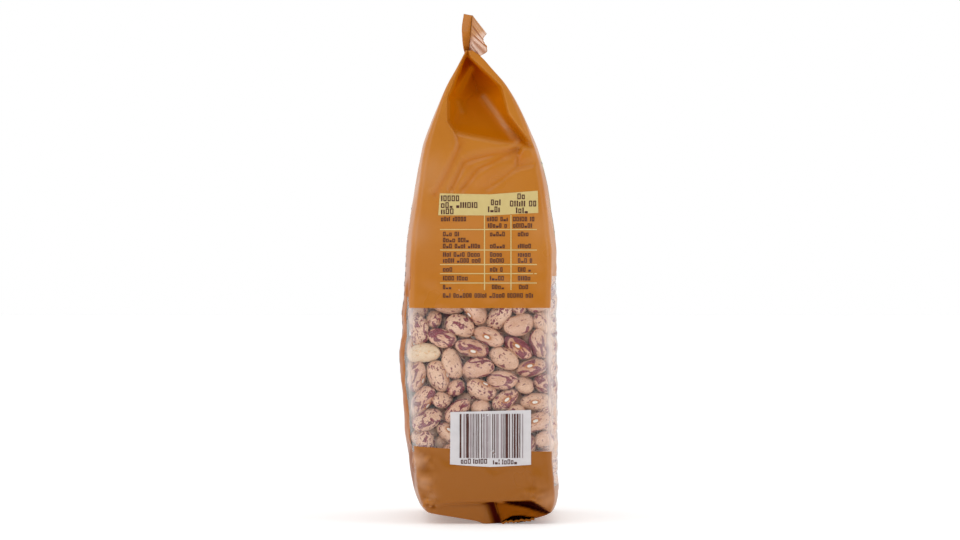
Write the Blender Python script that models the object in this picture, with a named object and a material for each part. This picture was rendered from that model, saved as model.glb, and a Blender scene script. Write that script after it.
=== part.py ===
"""A standing side-gusseted film pack of dried beans, with a clear window that shows them.

The narrow gusset side that carries the label faces -Y, the wide window side faces +X, and up is +Z.
Lengths in this file are millimetres, and MM turns them into Blender's metres.
"""

import math
import random

import bmesh
import bpy
import numpy as np
from mathutils import Matrix, Vector

MM = 0.001

# Driving dimensions
PACK_TOP = 230.0
NECK_Z = 213.7
CORNER_Y = 43.5
SEAL_Y = 45.0
CORNER_RADIUS = 4.0
FIT_GAP = 0.3
BASE_SHIFT = (0.44, 0.13, 0.0)

# Outermost X of the two wide faces at each height, as (height, X)
LEFT_FACE = (
    (0.0, -9.0), (0.8, -12.0), (3.15, -17.5), (5.85, -24.3), (11.25, -27.9), (16.65, -29.7),
    (27.45, -31.95), (54.45, -34.65), (73.35, -36.0), (97.65, -34.65), (119.25, -33.3),
    (140.85, -30.6), (170.55, -25.65), (181.35, -22.05), (197.55, -15.3), (205.65, -10.8),
    (NECK_Z, -6.5),
)
RIGHT_FACE = (
    (0.0, 17.0), (0.8, 20.7), (3.15, 27.0), (5.85, 32.0), (11.25, 34.65), (16.65, 35.1),
    (54.45, 35.1), (97.65, 34.65), (119.25, 34.2), (140.85, 31.95), (157.05, 29.25),
    (170.55, 25.65), (181.35, 21.15), (197.55, 12.15), (205.65, 5.4), (NECK_Z, -4.0),
)

# How far each side swells past its corner lines, as (height, swell)
LEFT_SWELL = (
    (0.0, 0.3), (12.0, 1.5), (35.0, 4.5), (85.0, 4.5), (120.0, 2.0), (170.0, 1.0), (190.0, 0.3),
    (NECK_Z, 0.1),
)
RIGHT_SWELL = (
    (0.0, 0.3), (12.0, 1.0), (35.0, 2.5), (95.0, 2.5), (125.0, 1.5), (170.0, 0.8), (190.0, 0.3),
    (NECK_Z, 0.1),
)
GUSSET_SWELL = ((0.0, 0.0), (14.0, 0.8), (40.0, 3.0), (85.0, 3.0), (115.0, 1.5), (150.0, 0.5), (175.0, 0.0))

# Radius of the four upright corners, as (height, radius)
CORNER_ROUND = (
    (0.0, 2.5), (12.0, CORNER_RADIUS), (165.0, CORNER_RADIUS), (185.0, 3.0), (192.0, 1.9),
    (200.0, 1.3), (207.0, 0.8), (NECK_Z, 0.4),
)

# The gable that the upper end of each gusset folds into: X of its two sides at each height
GABLE_LEFT = (
    (168.0, -10.35), (175.0, -10.35), (181.8, -14.85), (192.6, -14.85), (209.25, -8.1), (NECK_Z, -5.6),
)
GABLE_RIGHT = ((168.75, 25.2), (185.4, 13.05), (197.55, 9.9), (211.0, -4.5), (NECK_Z, -5.2))
GABLE_FOLD = ((-10.35, 175.95), (17.1, 170.55), (25.2, 168.75))
GABLE_SIDE_SLOPE = 1.7
GABLE_FLOOR_SLOPE = 0.84
GABLE_START_Z, GABLE_FULL_Z = 150.0, 175.0
TUCK_END_Z = 30.0

# The tuck under each gusset: a shallow left flap, a slit, and a pocket over the lip of the right flap
TUCK_Z = 12.6
LEFT_FLAP_DEPTH = 1.8
SLIT_X, SLIT_HALF, SLIT_DEPTH = 7.2, 1.6, 6.0
POCKET_DEPTH = ((0.0, 2.4), (0.3, 1.0), (0.6, 3.4), (0.9, 5.0), (1.0, 0.0))

# Where the sections lie, closer together at the folds, and the steps round each of their sides
BASE_LEVELS = (0.0, 0.8, 2.0, 3.6, 5.85, 8.5, 11.2, TUCK_Z, 15.0, 19.0)
FILLED_LEVELS = (26.0, 160.0, 13)
GABLE_LEVELS = (
    166.0, 169.0, 170.8, 172.5, 174.2, 176.0, 179.0, 182.0, 187.0, 192.6, 198.0, 203.0, 207.0,
    210.5, NECK_Z,
)
ARC_STEPS, GUSSET_STEPS, FACE_STEPS = 3, 8, 8

# The top seal, whose two leaves gape at each end
FIN_ROOT_Z = 210.0
FIN_X_ROOT, FIN_X_TOP = -5.3, -3.6
FIN_DIP = 1.2
FIN_LEAF = 0.9
FIN_SPREAD = 0.35
FIN_JOIN_Y = 12.0
FIN_CURL = 1.6
FIN_FAR_GAPE = 2.5

# The near ends of the two leaves, as (share of the way up, X or height)
LEFT_LEAF_X = ((0.0, -5.9), (0.3, -7.6), (0.65, -8.1), (1.0, -7.2))
RIGHT_LEAF_X = ((0.0, -2.5), (0.4, 1.4), (0.75, 2.9), (1.0, 2.7))
RIGHT_LEAF_Z = ((0.0, FIN_ROOT_Z), (0.5, 216.5), (1.0, 220.3))
RIGHT_LEAF_LEAN = 1.5

# The bottom seal, folded flat under the pack
FOLD_SEAL_X = (8.0, 21.5)
FOLD_SEAL_Z = (0.0, 2.6)
FOLD_SEAL_Y = 41.0

# The clear window: its height range on the gussets and on the wide side, and the heap behind it
GUSSET_WINDOW = (34.65, 97.65)
WIDE_WINDOW = (17.0, 112.0)
WINDOW_MARGIN = 2.5
WINDOW_DEPTH = 8.0
HEAP_BASE_DEPTH = 4.2

# The beans
BEAN_HALF = (6.9, 4.4, 3.3)
BEAN_VARIATION = 0.08
BEAN_SIDES, BEAN_RINGS = 6, 4
BEAN_STEP_ALONG, BEAN_STEP_UP = 13.0, 9.8
BEAN_STRAY_ALONG, BEAN_STRAY_UP = 1.5, 1.0
BEAN_EDGE = 1.0
HEAP_SPANS = (("near", 33.0, GUSSET_WINDOW), ("right", 40.0, WIDE_WINDOW), ("far", 33.0, GUSSET_WINDOW))
BEAN_SEED = 7


def along(knots, t):
    """A smooth curve through the knots (t, value), with no overshoot between them."""
    at = np.array([k[0] for k in knots])
    value = np.array([k[1] for k in knots])
    slope = np.diff(value) / np.diff(at)
    tangent = np.zeros(len(at))
    tangent[0], tangent[-1] = slope[0], slope[-1]
    same = slope[:-1] * slope[1:] > 0
    total = np.where(same, slope[:-1] + slope[1:], 1.0)
    tangent[1:-1] = np.where(same, 2 * slope[:-1] * slope[1:] / total, 0.0)
    t = float(np.clip(t, at[0], at[-1]))
    i = int(np.clip(np.searchsorted(at, t) - 1, 0, len(at) - 2))
    width = at[i + 1] - at[i]
    k = (t - at[i]) / width
    return float(
        value[i] * (1 + 2 * k) * (1 - k) ** 2
        + value[i + 1] * k * k * (3 - 2 * k)
        + tangent[i] * width * k * (1 - k) ** 2
        - tangent[i + 1] * width * k * k * (1 - k)
    )


def straight(knots, t):
    """Straight runs between the knots."""
    return float(np.interp(t, [k[0] for k in knots], [k[1] for k in knots]))


def gable_depth(x, z):
    """How far the gusset is folded in at the gable, 0 outside it."""
    walls = (
        GABLE_SIDE_SLOPE * (x - straight(GABLE_LEFT, z)),
        GABLE_SIDE_SLOPE * (straight(GABLE_RIGHT, z) - x),
        GABLE_FLOOR_SLOPE * (z - straight(GABLE_FOLD, x)),
    )
    return max(0.0, min(walls))


def tuck_depth(x, z):
    """How far the gusset is tucked in below its lower fold."""
    if z >= TUCK_Z:
        return 0.0
    flap = LEFT_FLAP_DEPTH * (1.0 - z / TUCK_Z) ** 0.5
    pocket = straight(POCKET_DEPTH, z / TUCK_Z)
    right_share = min(1.0, max(0.0, (x - SLIT_X) / SLIT_HALF))
    slit = SLIT_DEPTH * max(0.0, 1.0 - abs(x - SLIT_X) / SLIT_HALF)
    return max(flap * (1 - right_share) + pocket * right_share, slit * min(1.0, (TUCK_Z - z) / 2))


def gable_stations(left, right, z):
    """X of the folds across the gusset at height z, between the inner ends of its corners."""
    fold_slope = (GABLE_FOLD[1][1] - GABLE_FOLD[0][1]) / (GABLE_FOLD[1][0] - GABLE_FOLD[0][0])
    rise = GABLE_FLOOR_SLOPE * (z - GABLE_FOLD[0][1] + fold_slope * GABLE_FOLD[0][0])
    tilt = GABLE_FLOOR_SLOPE * fold_slope
    start, end = straight(GABLE_LEFT, z), straight(GABLE_RIGHT, z)
    valley_left = (GABLE_SIDE_SLOPE * start + rise) / (GABLE_SIDE_SLOPE + tilt)
    valley_right = (GABLE_SIDE_SLOPE * end - rise) / (GABLE_SIDE_SLOPE - tilt)
    if valley_left > valley_right:
        valley_left = valley_right = (start + end) / 2
    centre = (valley_left + valley_right) / 2
    left_half = [left, (left + start) / 2, start, valley_left]
    right_half = [valley_right, end, (end + right) / 2, right]
    return np.maximum.accumulate(np.clip([*left_half, centre, *right_half], left, right))


def tuck_stations(left, right):
    """X of the folds across the gusset's tuck."""
    low, high = SLIT_X - SLIT_HALF, SLIT_X + SLIT_HALF
    return np.array([*np.linspace(left, low, 4), SLIT_X, *np.linspace(high, right, 4)])


def stations(left, right, z):
    """X across the gusset at height z: evenly spaced on the filled part, and on the folds at both ends."""
    even = np.linspace(left, right, GUSSET_STEPS + 1)
    if z < TUCK_END_Z:
        share = min(1.0, (TUCK_END_Z - z) / (TUCK_END_Z - TUCK_Z))
        return even + share * (tuck_stations(left, right) - even)
    share = min(1.0, max(0.0, (z - GABLE_START_Z) / (GABLE_FULL_Z - GABLE_START_Z)))
    return even + share * (gable_stations(left, right, z) - even)


def corner_lines(z):
    """X of the left and right corner lines at height z, and how far the faces swell past them."""
    swell_left, swell_right = along(LEFT_SWELL, z), along(RIGHT_SWELL, z)
    return along(LEFT_FACE, z) + swell_left, along(RIGHT_FACE, z) - swell_right, swell_left, swell_right


def gusset_y(x, z):
    """Distance of the gusset's filled surface from the middle of the pack, before folds and corners."""
    left, right, _, _ = corner_lines(z)
    share = min(1.0, max(0.0, (x - left) / (right - left)))
    return CORNER_Y + along(GUSSET_SWELL, z) * 4 * share * (1 - share)


def section(z):
    """The outline of the pack at height z as points (x, y).

    It runs along the near gusset from left to right, the right face, the far gusset and the left face.
    """
    left, right, swell_left, swell_right = corner_lines(z)
    radius = min(along(CORNER_ROUND, z), 0.45 * (right - left))
    arc = [radius * (1 - math.cos(math.pi / 2 * k / ARC_STEPS)) for k in range(ARC_STEPS)]
    inner = stations(left + radius, right - radius, z)
    near = []
    for x in [left + a for a in arc] + list(inner) + [right - a for a in reversed(arc)]:
        from_corner = min(x - left, right - x, radius)
        rounding = radius - math.sqrt(max(0.0, radius**2 - (radius - from_corner) ** 2))
        near.append((x, rounding + gable_depth(x, z) + tuck_depth(x, z) - gusset_y(x, z)))
    reach = CORNER_Y - radius - tuck_depth(left, z)
    ys = np.linspace(-reach, reach, FACE_STEPS + 1)[1:-1]
    bow = [1 - (y / reach) ** 2 for y in ys]
    right_face = [(right + swell_right * b, y) for y, b in zip(ys, bow)]
    left_face = [(left - swell_left * b, -y) for y, b in zip(ys, bow)]
    far = [(x, -y) for x, y in reversed(near)]
    return near + right_face + far + left_face


def placed(point):
    """A point in metres, moved so that the origin is under the middle of the pack."""
    return (Vector(point) + Vector(BASE_SHIFT)) * MM


def mesh_object(name, points, faces):
    """A mesh object from points in millimetres, with its faces turned outwards."""
    mesh = bpy.data.meshes.new(name)
    mesh.from_pydata([placed(p) for p in points], [], faces)
    shape = bmesh.new()
    shape.from_mesh(mesh)
    bmesh.ops.remove_doubles(shape, verts=shape.verts, dist=1e-7)
    bmesh.ops.recalc_face_normals(shape, faces=shape.faces)
    shape.to_mesh(mesh)
    shape.free()
    obj = bpy.data.objects.new(name, mesh)
    bpy.context.collection.objects.link(obj)
    return obj


def loft(name, rings):
    """A closed solid through rings of equal length, with flat ends."""
    count = len(rings[0])
    points = [p for ring in rings for p in ring]
    faces = []
    for level in range(len(rings) - 1):
        low, high = level * count, (level + 1) * count
        for i in range(count):
            j = (i + 1) % count
            faces.append((low + i, low + j, high + j, high + i))
    faces.append(tuple(range(count)))
    faces.append(tuple((len(rings) - 1) * count + i for i in range(count)))
    return mesh_object(name, points, faces)


def slab(name, front, back):
    """A closed solid between two grids of points of equal size."""
    rows, cols = len(front), len(front[0])
    points = [p for row in front for p in row] + [p for row in back for p in row]
    shift = rows * cols

    def at(r, c, side):
        return r * cols + c + side * shift

    faces = []
    for r in range(rows - 1):
        for c in range(cols - 1):
            for side in (0, 1):
                faces.append((at(r, c, side), at(r, c + 1, side), at(r + 1, c + 1, side), at(r + 1, c, side)))
    for r in range(rows - 1):
        for c in (0, cols - 1):
            faces.append((at(r, c, 0), at(r + 1, c, 0), at(r + 1, c, 1), at(r, c, 1)))
    for c in range(cols - 1):
        for r in (0, rows - 1):
            faces.append((at(r, c, 0), at(r, c + 1, 0), at(r, c + 1, 1), at(r, c, 1)))
    return mesh_object(name, points, faces)


def make_body():
    """The filled part of the pack, up to the neck below the top seal."""
    levels = [*BASE_LEVELS, *np.linspace(*FILLED_LEVELS), *GABLE_LEVELS]
    return loft("bag", [[(x, y, z) for x, y in section(z)] for z in levels])


def leaf_edge(side, height):
    """X, Y and Z of a leaf's free near end: height runs from 0 at its root to 1 at the cut edge."""
    if side < 0:
        return along(LEFT_LEAF_X, height), -SEAL_Y, FIN_ROOT_Z + (PACK_TOP - FIN_ROOT_Z) * height
    return along(RIGHT_LEAF_X, height), -SEAL_Y - RIGHT_LEAF_LEAN * height, along(RIGHT_LEAF_Z, height)


def leaf_point(side, y, height):
    """A point in the middle of one leaf of the top seal."""
    x = FIN_X_ROOT + (FIN_X_TOP - FIN_X_ROOT) * height + side * FIN_SPREAD
    z = FIN_ROOT_Z + (PACK_TOP - FIN_DIP - FIN_ROOT_Z) * height
    near = max(0.0, (-y - FIN_JOIN_Y) / (SEAL_Y - FIN_JOIN_Y)) ** FIN_CURL
    far = max(0.0, (y - FIN_JOIN_Y) / (SEAL_Y - FIN_JOIN_Y)) ** FIN_CURL
    edge = leaf_edge(side, height)
    x += near * (edge[0] - x) + far * side * FIN_FAR_GAPE * height
    return x, y + near * (edge[1] + SEAL_Y), z + near * (edge[2] - z)


def make_leaf(side):
    """One leaf of the top seal, a thin curved slab."""
    ys = np.linspace(-SEAL_Y, SEAL_Y, 15)
    heights = np.linspace(0.0, 1.0, 6)
    half = FIN_LEAF / 2
    middle = [[leaf_point(side, y, h) for h in heights] for y in ys]
    front = [[(x - half, y, z) for x, y, z in row] for row in middle]
    back = [[(x + half, y, z) for x, y, z in row] for row in middle]
    return slab("leaf", front, back)


def make_fold_seal():
    """The bottom seal, folded flat against the base."""
    xs = np.linspace(*FOLD_SEAL_X, 5)
    ys = np.linspace(-FOLD_SEAL_Y, FOLD_SEAL_Y, 7)
    low = [[(x, y, FOLD_SEAL_Z[0]) for x in xs] for y in ys]
    high = [[(x, y, FOLD_SEAL_Z[1]) for x in xs] for y in ys]
    return slab("fold_seal", low, high)


def window_path(z, inset, trim):
    """A line set in from the film, from the near left corner round the right face to the far one.

    Each point is (x, y, wide): wide is 1 on the right face and 0 on the gussets.
    """
    left, right, _, swell_right = corner_lines(z)
    radius = max(0.5, CORNER_RADIUS - inset)
    side_x, reach = right - inset, CORNER_Y - inset - radius
    near = []
    for x in np.linspace(left + WINDOW_MARGIN + trim, side_x - radius, 6):
        near.append((x, inset - gusset_y(x, z), 0.0))
    half_turn = radius * (1 - math.cos(math.pi / 4))
    near.append((side_x - half_turn, -(CORNER_Y - inset - half_turn), 1.0))
    face = []
    for y in np.linspace(-reach, reach, 7):
        face.append((side_x + swell_right * max(0.0, 1 - (y / (CORNER_Y - CORNER_RADIUS)) ** 2), y, 1.0))
    return near + face + [(x, -y, wide) for x, y, wide in reversed(near)]


def make_band(name, outer_inset, inner_inset, gap):
    """A band round the window between two depths, gap clear of the window's edges."""
    steps = 5
    sample = window_path(60.0, outer_inset, gap)
    outer, inner = [], []
    for i, (_, _, wide) in enumerate(sample):
        low = GUSSET_WINDOW[0] + wide * (WIDE_WINDOW[0] - GUSSET_WINDOW[0]) + gap
        high = GUSSET_WINDOW[1] + wide * (WIDE_WINDOW[1] - GUSSET_WINDOW[1]) - gap
        for column, inset in ((outer, outer_inset), (inner, inner_inset)):
            heights = np.linspace(low, high, steps)
            column.append([(*window_path(z, inset, gap)[i][:2], z) for z in heights])
    return slab(name, outer, inner)


def make_bean(number, centre, frame, half):
    """One few-sided bean."""
    obj = bpy.data.objects.new(f"bean_{number}", bpy.data.meshes.new("bean"))
    shape = bmesh.new()
    bmesh.ops.create_uvsphere(shape, u_segments=BEAN_SIDES, v_segments=BEAN_RINGS, radius=1.0)
    turn = Matrix((frame[0], frame[2], frame[1])).transposed()
    for vert in shape.verts:
        local = Vector((vert.co.z * half[0], vert.co.x * half[2], vert.co.y * half[1]))
        vert.co = placed(Vector(centre) + turn @ local)
    bmesh.ops.recalc_face_normals(shape, faces=shape.faces)
    shape.to_mesh(obj.data)
    shape.free()
    return obj


def bean_place(side, place, z, draw):
    """Centre, axes and half sizes of a bean that lies against the film at a place on one side."""
    half = [h * (1 + draw.uniform(-BEAN_VARIATION, BEAN_VARIATION)) for h in BEAN_HALF]
    angle = draw.uniform(0, math.pi)
    tall = math.hypot(half[0] * math.sin(angle), half[1] * math.cos(angle)) + BEAN_EDGE
    wide = math.hypot(half[0] * math.cos(angle), half[1] * math.sin(angle)) + BEAN_EDGE
    low, high = WIDE_WINDOW if side == "right" else GUSSET_WINDOW
    z = min(max(z, low + tall), high - tall)
    left, right, _, swell_right = corner_lines(z)
    sunk = half[2] + FIT_GAP
    if side == "right":
        reach = CORNER_Y - CORNER_RADIUS
        beside_gusset_window = GUSSET_WINDOW[0] + tall < z < GUSSET_WINDOW[1] - tall
        limit = reach - BEAN_EDGE if beside_gusset_window else reach - CORNER_RADIUS - wide
        y = min(max(place, -limit), limit)
        x = right + swell_right * (1 - (y / reach) ** 2) - sunk
        tangent, normal = Vector((0, 1, 0)), Vector((1, 0, 0))
    else:
        sign = -1.0 if side == "near" else 1.0
        x = min(max(place, left + WINDOW_MARGIN + wide), right - CORNER_RADIUS - half[2])
        y = sign * (gusset_y(x, z) - sunk)
        tangent, normal = Vector((1, 0, 0)), Vector((0, sign, 0))
    up = Vector((0, 0, 1))
    long_axis = tangent * math.cos(angle) + up * math.sin(angle)
    short_axis = up * math.cos(angle) - tangent * math.sin(angle)
    return (x, y, z), (long_axis, short_axis, normal), half


def make_heap():
    """The beans that show in the window, fused into one heap on a plain band."""
    draw = random.Random(BEAN_SEED)
    band = make_band("beans", HEAP_BASE_DEPTH, WINDOW_DEPTH - FIT_GAP, FIT_GAP)
    beans = []
    for side, reach, (low, high) in HEAP_SPANS:
        rows = round((high - low) / BEAN_STEP_UP)
        columns = round(2 * reach / BEAN_STEP_ALONG)
        for row in range(rows):
            for column in range(columns + 1):
                place = -reach + (column + 0.5 * (row % 2)) * 2 * reach / columns
                place += draw.uniform(-BEAN_STRAY_ALONG, BEAN_STRAY_ALONG)
                z = low + (row + 0.5) * (high - low) / rows + draw.uniform(-BEAN_STRAY_UP, BEAN_STRAY_UP)
                beans.append(make_bean(len(beans), *bean_place(side, place, z, draw)))
    combine(band, grouped("heap", beans), "UNION")
    return band


def keep_main_shell(shape):
    """Drops every shell but the largest, which fills sealed hollows and removes loose scraps."""
    left = set(shape.verts)
    shells = []
    while left:
        stack = [left.pop()]
        shell = set(stack)
        while stack:
            for edge in stack.pop().link_edges:
                for vert in edge.verts:
                    if vert in left:
                        left.remove(vert)
                        shell.add(vert)
                        stack.append(vert)
        shells.append(shell)
    shells.sort(key=len)
    for shell in shells[:-1]:
        bmesh.ops.delete(shape, geom=list(shell), context="VERTS")


def combine(target, collection, operation):
    """Joins a collection's objects to the target or cuts them from it, and removes them."""
    boolean = target.modifiers.new("combine", "BOOLEAN")
    boolean.operand_type = "COLLECTION"
    boolean.collection = collection
    boolean.operation = operation
    shape = bmesh.new()
    shape.from_object(target, bpy.context.evaluated_depsgraph_get())
    keep_main_shell(shape)
    target.modifiers.clear()
    shape.to_mesh(target.data)
    shape.free()
    for obj in list(collection.objects):
        bpy.data.objects.remove(obj)
    bpy.data.collections.remove(collection)


def grouped(name, objects):
    """A new collection that holds the objects alone."""
    group = bpy.data.collections.new(name)
    bpy.context.scene.collection.children.link(group)
    for obj in objects:
        for old in list(obj.users_collection):
            old.objects.unlink(obj)
        group.objects.link(obj)
    return group


def make_bag():
    """The film pack as a solid, with a recess where its window shows the beans."""
    bag = make_body()
    combine(bag, grouped("seals", [make_leaf(-1), make_leaf(1), make_fold_seal()]), "UNION")
    combine(bag, grouped("windows", [make_band("window", -6.0, WINDOW_DEPTH, 0.0)]), "DIFFERENCE")
    return bag


def material(name, colour, roughness):
    """A plain Principled material."""
    made = bpy.data.materials.new(name)
    made.use_nodes = True
    shader = made.node_tree.nodes["Principled BSDF"]
    shader.inputs["Base Color"].default_value = (*colour, 1.0)
    shader.inputs["Roughness"].default_value = roughness
    shader.inputs["Metallic"].default_value = 0.0
    return made


def finish(obj, surface, sharp_degrees):
    """Gives an object its material and shades it smooth between its sharp edges."""
    obj.data.materials.clear()
    obj.data.materials.append(surface)
    obj.data.shade_smooth()
    obj.data.set_sharp_from_angle(angle=math.radians(sharp_degrees))


def main():
    """Builds the two nodes."""
    for obj in list(bpy.data.objects):
        bpy.data.objects.remove(obj)
    finish(make_bag(), material("printed_film", (0.50, 0.19, 0.036), 0.35), 35)
    finish(make_heap(), material("dried_beans", (0.58, 0.36, 0.26), 0.45), 50)


main()
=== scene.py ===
"""A standing film pack of dried beans: printed film, clear window, print, seals and beans.

Lengths are millimetres, and MM turns them into Blender's metres. The narrow gusset side with the label
faces -Y, the wide window side faces +X, and up is +Z.
"""

import math

import bpy
import numpy as np
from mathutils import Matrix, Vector, noise
from mathutils.bvhtree import BVHTree


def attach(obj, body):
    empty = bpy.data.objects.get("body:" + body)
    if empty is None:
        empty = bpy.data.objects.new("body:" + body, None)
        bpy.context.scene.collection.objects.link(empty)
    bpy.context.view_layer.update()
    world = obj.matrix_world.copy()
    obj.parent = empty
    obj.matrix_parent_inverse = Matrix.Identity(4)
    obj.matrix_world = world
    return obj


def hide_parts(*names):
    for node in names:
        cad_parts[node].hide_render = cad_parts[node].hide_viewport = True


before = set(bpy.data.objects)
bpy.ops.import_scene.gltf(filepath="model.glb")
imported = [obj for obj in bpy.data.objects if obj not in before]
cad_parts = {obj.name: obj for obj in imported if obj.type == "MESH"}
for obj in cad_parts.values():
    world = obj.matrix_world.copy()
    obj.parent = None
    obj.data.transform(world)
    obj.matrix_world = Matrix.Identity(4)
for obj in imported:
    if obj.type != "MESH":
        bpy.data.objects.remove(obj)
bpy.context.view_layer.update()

MM = 0.001
PIXEL = 0.45  # millimetres to a pixel of the photograph's 960 by 540 frame
NECK_Z = 213.7
PACK_TOP = 230.0
CORNER_Y = 43.5
SEAL_Y = 45.0
BASE_SHIFT = np.array((0.44, 0.13, 0.0))

# Outermost X of the two wide faces at each height, as (height, X)
LEFT_FACE = (
    (0, 0.5), (0.9, -1.5), (1.8, -6.5), (2.8, -12.5), (3.7, -18), (4.8, -24), (6, -25.6),
    (8.5, -27.3), (11.25, -28.6), (16.65, -30.2), (27.45, -32.2), (54.45, -34.65), (73.35, -36),
    (97.65, -34.65), (119.25, -33.3), (140.85, -30.6), (170.55, -25.65), (181.35, -22.05),
    (197.55, -15.3), (205.65, -10.8), (NECK_Z, -6.5),
)
RIGHT_FACE = (
    (0, 17), (0.8, 20.7), (3.15, 28), (4.5, 32), (5.85, 33.1), (11.25, 34.9), (16.65, 35.3),
    (54.45, 35.1), (97.65, 34.65), (119.25, 34.2), (140.85, 31.95), (157.05, 29.25),
    (170.55, 25.65), (181.35, 21.15), (197.55, 12.15), (205.65, 5.4), (211.5, 0), (NECK_Z, -3.2),
)

# How far each side swells past its corner lines, as (height, swell)
LEFT_SWELL = (
    (0, 0.3), (12, 1.2), (35, 2.8), (85, 2.6), (120, 1.4), (170, 0.8), (190, 0.3),
    (NECK_Z, 0.1),
)
RIGHT_SWELL = (
    (0, 0.3), (12, 1), (35, 2.5), (95, 2.5), (125, 1.5), (170, 0.8), (190, 0.3),
    (NECK_Z, 0.1),
)
GUSSET_SWELL = ((0, 0), (14, 0.8), (40, 3), (85, 3), (115, 1.5), (150, 0.5), (175, 0))

# The wide faces' further bulge as a share of X, because their middles lie further from the camera
BULGE_LEFT, BULGE_RIGHT = 0.030, 0.036

# Radius of the four upright corners, as (height, radius)
CORNER_ROUND = (
    (0, 2.5), (12, 4), (165, 4), (185, 3), (192, 1.9), (200, 1.3), (207, 0.8),
    (NECK_Z, 0.4),
)

# The gable that the upper end of each gusset folds into
GABLE_LEFT = (
    (168, -10.35), (175, -10.35), (181.8, -14.85), (192.6, -14.85), (209.25, -8.1), (NECK_Z, -5.6),
)
GABLE_RIGHT = ((168.75, 25.2), (185.4, 13.05), (197.55, 9.9), (211, -4.5), (NECK_Z, -5.2))
GABLE_FOLD = ((-10.35, 175.95), (17.1, 170.55), (25.2, 168.75))
GABLE_SIDE_SLOPE = 1.7
GABLE_FLOOR_SLOPE = 0.84
GABLE_STEP, GABLE_STEP_RUN, GABLE_REST = 4.0, 2.2, 0.62
GABLE_START_Z, GABLE_FULL_Z = 150.0, 175.0
TUCK_END_Z = 30.0
FOLD_SOFTNESS = 0.22

# The tuck under each gusset: the fold it starts at and the fold between its two flaps
TUCK_Z = 12.6
SLIT_X, SLIT_HALF = 7.2, 1.6
TUCK_FOLD = ((-30, 7.6), (-21.5, 8.5), (-12, 9.8), (8, 10.3), (22.5, 10.8), (27, 8.4), (32.5, 4.8))
TUCK_STEP, TUCK_SLOPE = 2.0, 0.2

# The tuck's hollows: the slit between the flaps, the pocket over the right flap and the mouth under its lip
SLIT_TOP, SLIT_LEAN, SLIT_DEPTH, SLIT_POWER = (6.1, 9.45), 0.30, 4.0, 1.2
SLIT_WIDTH_LEFT, SLIT_WIDTH_RIGHT = 6.4, 2.2
POCKET_EDGE = ((8, 10), (12, 9.5), (16.7, 8.4), (20.3, 7.6), (23.9, 6.6), (29.3, 4.9), (32, 4))
POCKET_DEPTH, POCKET_START = 5.5, 8.0
TUCK_LIP = ((8, 0.2), (11.6, 2), (14.7, 3.7), (17.6, 3.9), (21.2, 3.3), (24.3, 2.7), (32, 2))
LIP_START, LIP_END, LIP_ROLL = 9.5, 25.6, 0.8
MOUTH_DEPTH = 7.0
LINE_DEPTH, LINE_START, LINE_END = 1.2, -20.0, 12.0

# The clear windows, the clear margins of the printed wide face, the haze at the corners and the bow of the
# near window's lower edge
GUSSET_WINDOW = (34.65, 97.65)
WIDE_WINDOW = (17, 112)
MARGIN_WINDOW = (32, 103)
MARGIN_WIDTH = 2.6
RIM_HAZE = 2.6
WINDOW_BOW, WINDOW_BOW_REACH = ((0, 0.9), (0.45, -1.2), (1, -1.8)), 7.0

# Painted shade on the print: in the gable's folds it starts and is full at these fold depths, with its
# strength at each height; its amount on the tuck's right flap and towards the lower end of the pack; and the
# depth at which the tuck's hollows are darkest
FOLD_START, FOLD_FULL_DEPTH = 0.5, 3.2
FOLD_SHADE_BY_HEIGHT = ((170, 0.60), (182, 0.62), (192, 0.75), (207, 1))
FLAP_SHADE, LOW_SHADE, HOLLOW_SHADE_DEPTH = 0.6, 0.35, 3.0

# The film's grid: rows between these heights, and columns round each side
ROW_RUNS = (
    (0, TUCK_Z, 22), (TUCK_Z, 17, 5), (17, 29, 10), (29, 34.65, 5), (34.65, 97.65, 52),
    (97.65, 110, 10), (110, 112, 2), (112, 150, 30), (150, NECK_Z, 76),
)
ARC_COLUMNS = 6
STATION_STEPS = 7
FACE_COLUMNS = 60
MARGIN_COLUMNS = 4

# How the film lies on the beans: the heights it does so between, how far it is drawn in and how far it keeps
# off them, a little more on the printed left side
DRAPE_RANGE = (8, 124)
DRAPE_FREE, DRAPE_MOST, DRAPE_SKIN, DRAPE_OUT = 0.8, 1.5, 0.12, 0.35
DRAPE_LEFT_GAP, DRAPE_LEFT_X = 0.1, -25.0
DRAPE_PASSES = 4
RAY_START, RAY_LENGTH = 4.0, 9.0

# Waves of the slack printed side, and crumpled spots of the near side as x, z, radius and amount
SLACK = 0.8
CRUMPLES = ((-22.7, 9.2, 2.6, 2.2), (25, 11, 6, 0.8), (-27.5, 28, 5, 1.3), (-24.5, 18, 4, 1.2))

# Creases of the near gusset, as points (x, z), depth inwards (outwards if negative) and its width, and the
# amount and width of the painted shade along them
CREASES = (
    (((17.5, 169.6), (-4.1, 164.7), (-7.2, 163.3), (-13.1, 151.2)), 1.4, 3.2, 0.34, 2.2),
    (((17.5, 169.4), (-0.9, 160.2), (-8.1, 151.2)), 1.4, 3, 0.40, 2),
    (((15.3, 160.2), (3.1, 151.6)), 0.9, 3, 0.22, 1.8),
    (((-9.9, 175.5), (-8.6, 171.9), (-14, 160.2), (-20.3, 149)), 1.5, 3.4, 0.36, 2.2),
    (((16.6, 171), (17, 161.5), (24, 163)), 1.4, 2.6, 0, 1),
    (((9, 167), (-2, 156)), -1, 5, 0, 1),
    (((-12, 168), (-19, 152)), -1, 6, 0, 1),
    (((1.5, 193.7), (8.6, 184), (16.6, 172.8)), -1.4, 2.6, 0, 1),
    (((-9.9, 191.7), (-8.1, 182.7)), -0.7, 2.2, 0, 1),
    (((-5, 163), (-3, 158), (-8, 150)), 0, 1, 0.16, 5),
    (((6, 158.5), (-2, 150)), 0, 1, 0.16, 6),
)
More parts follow.
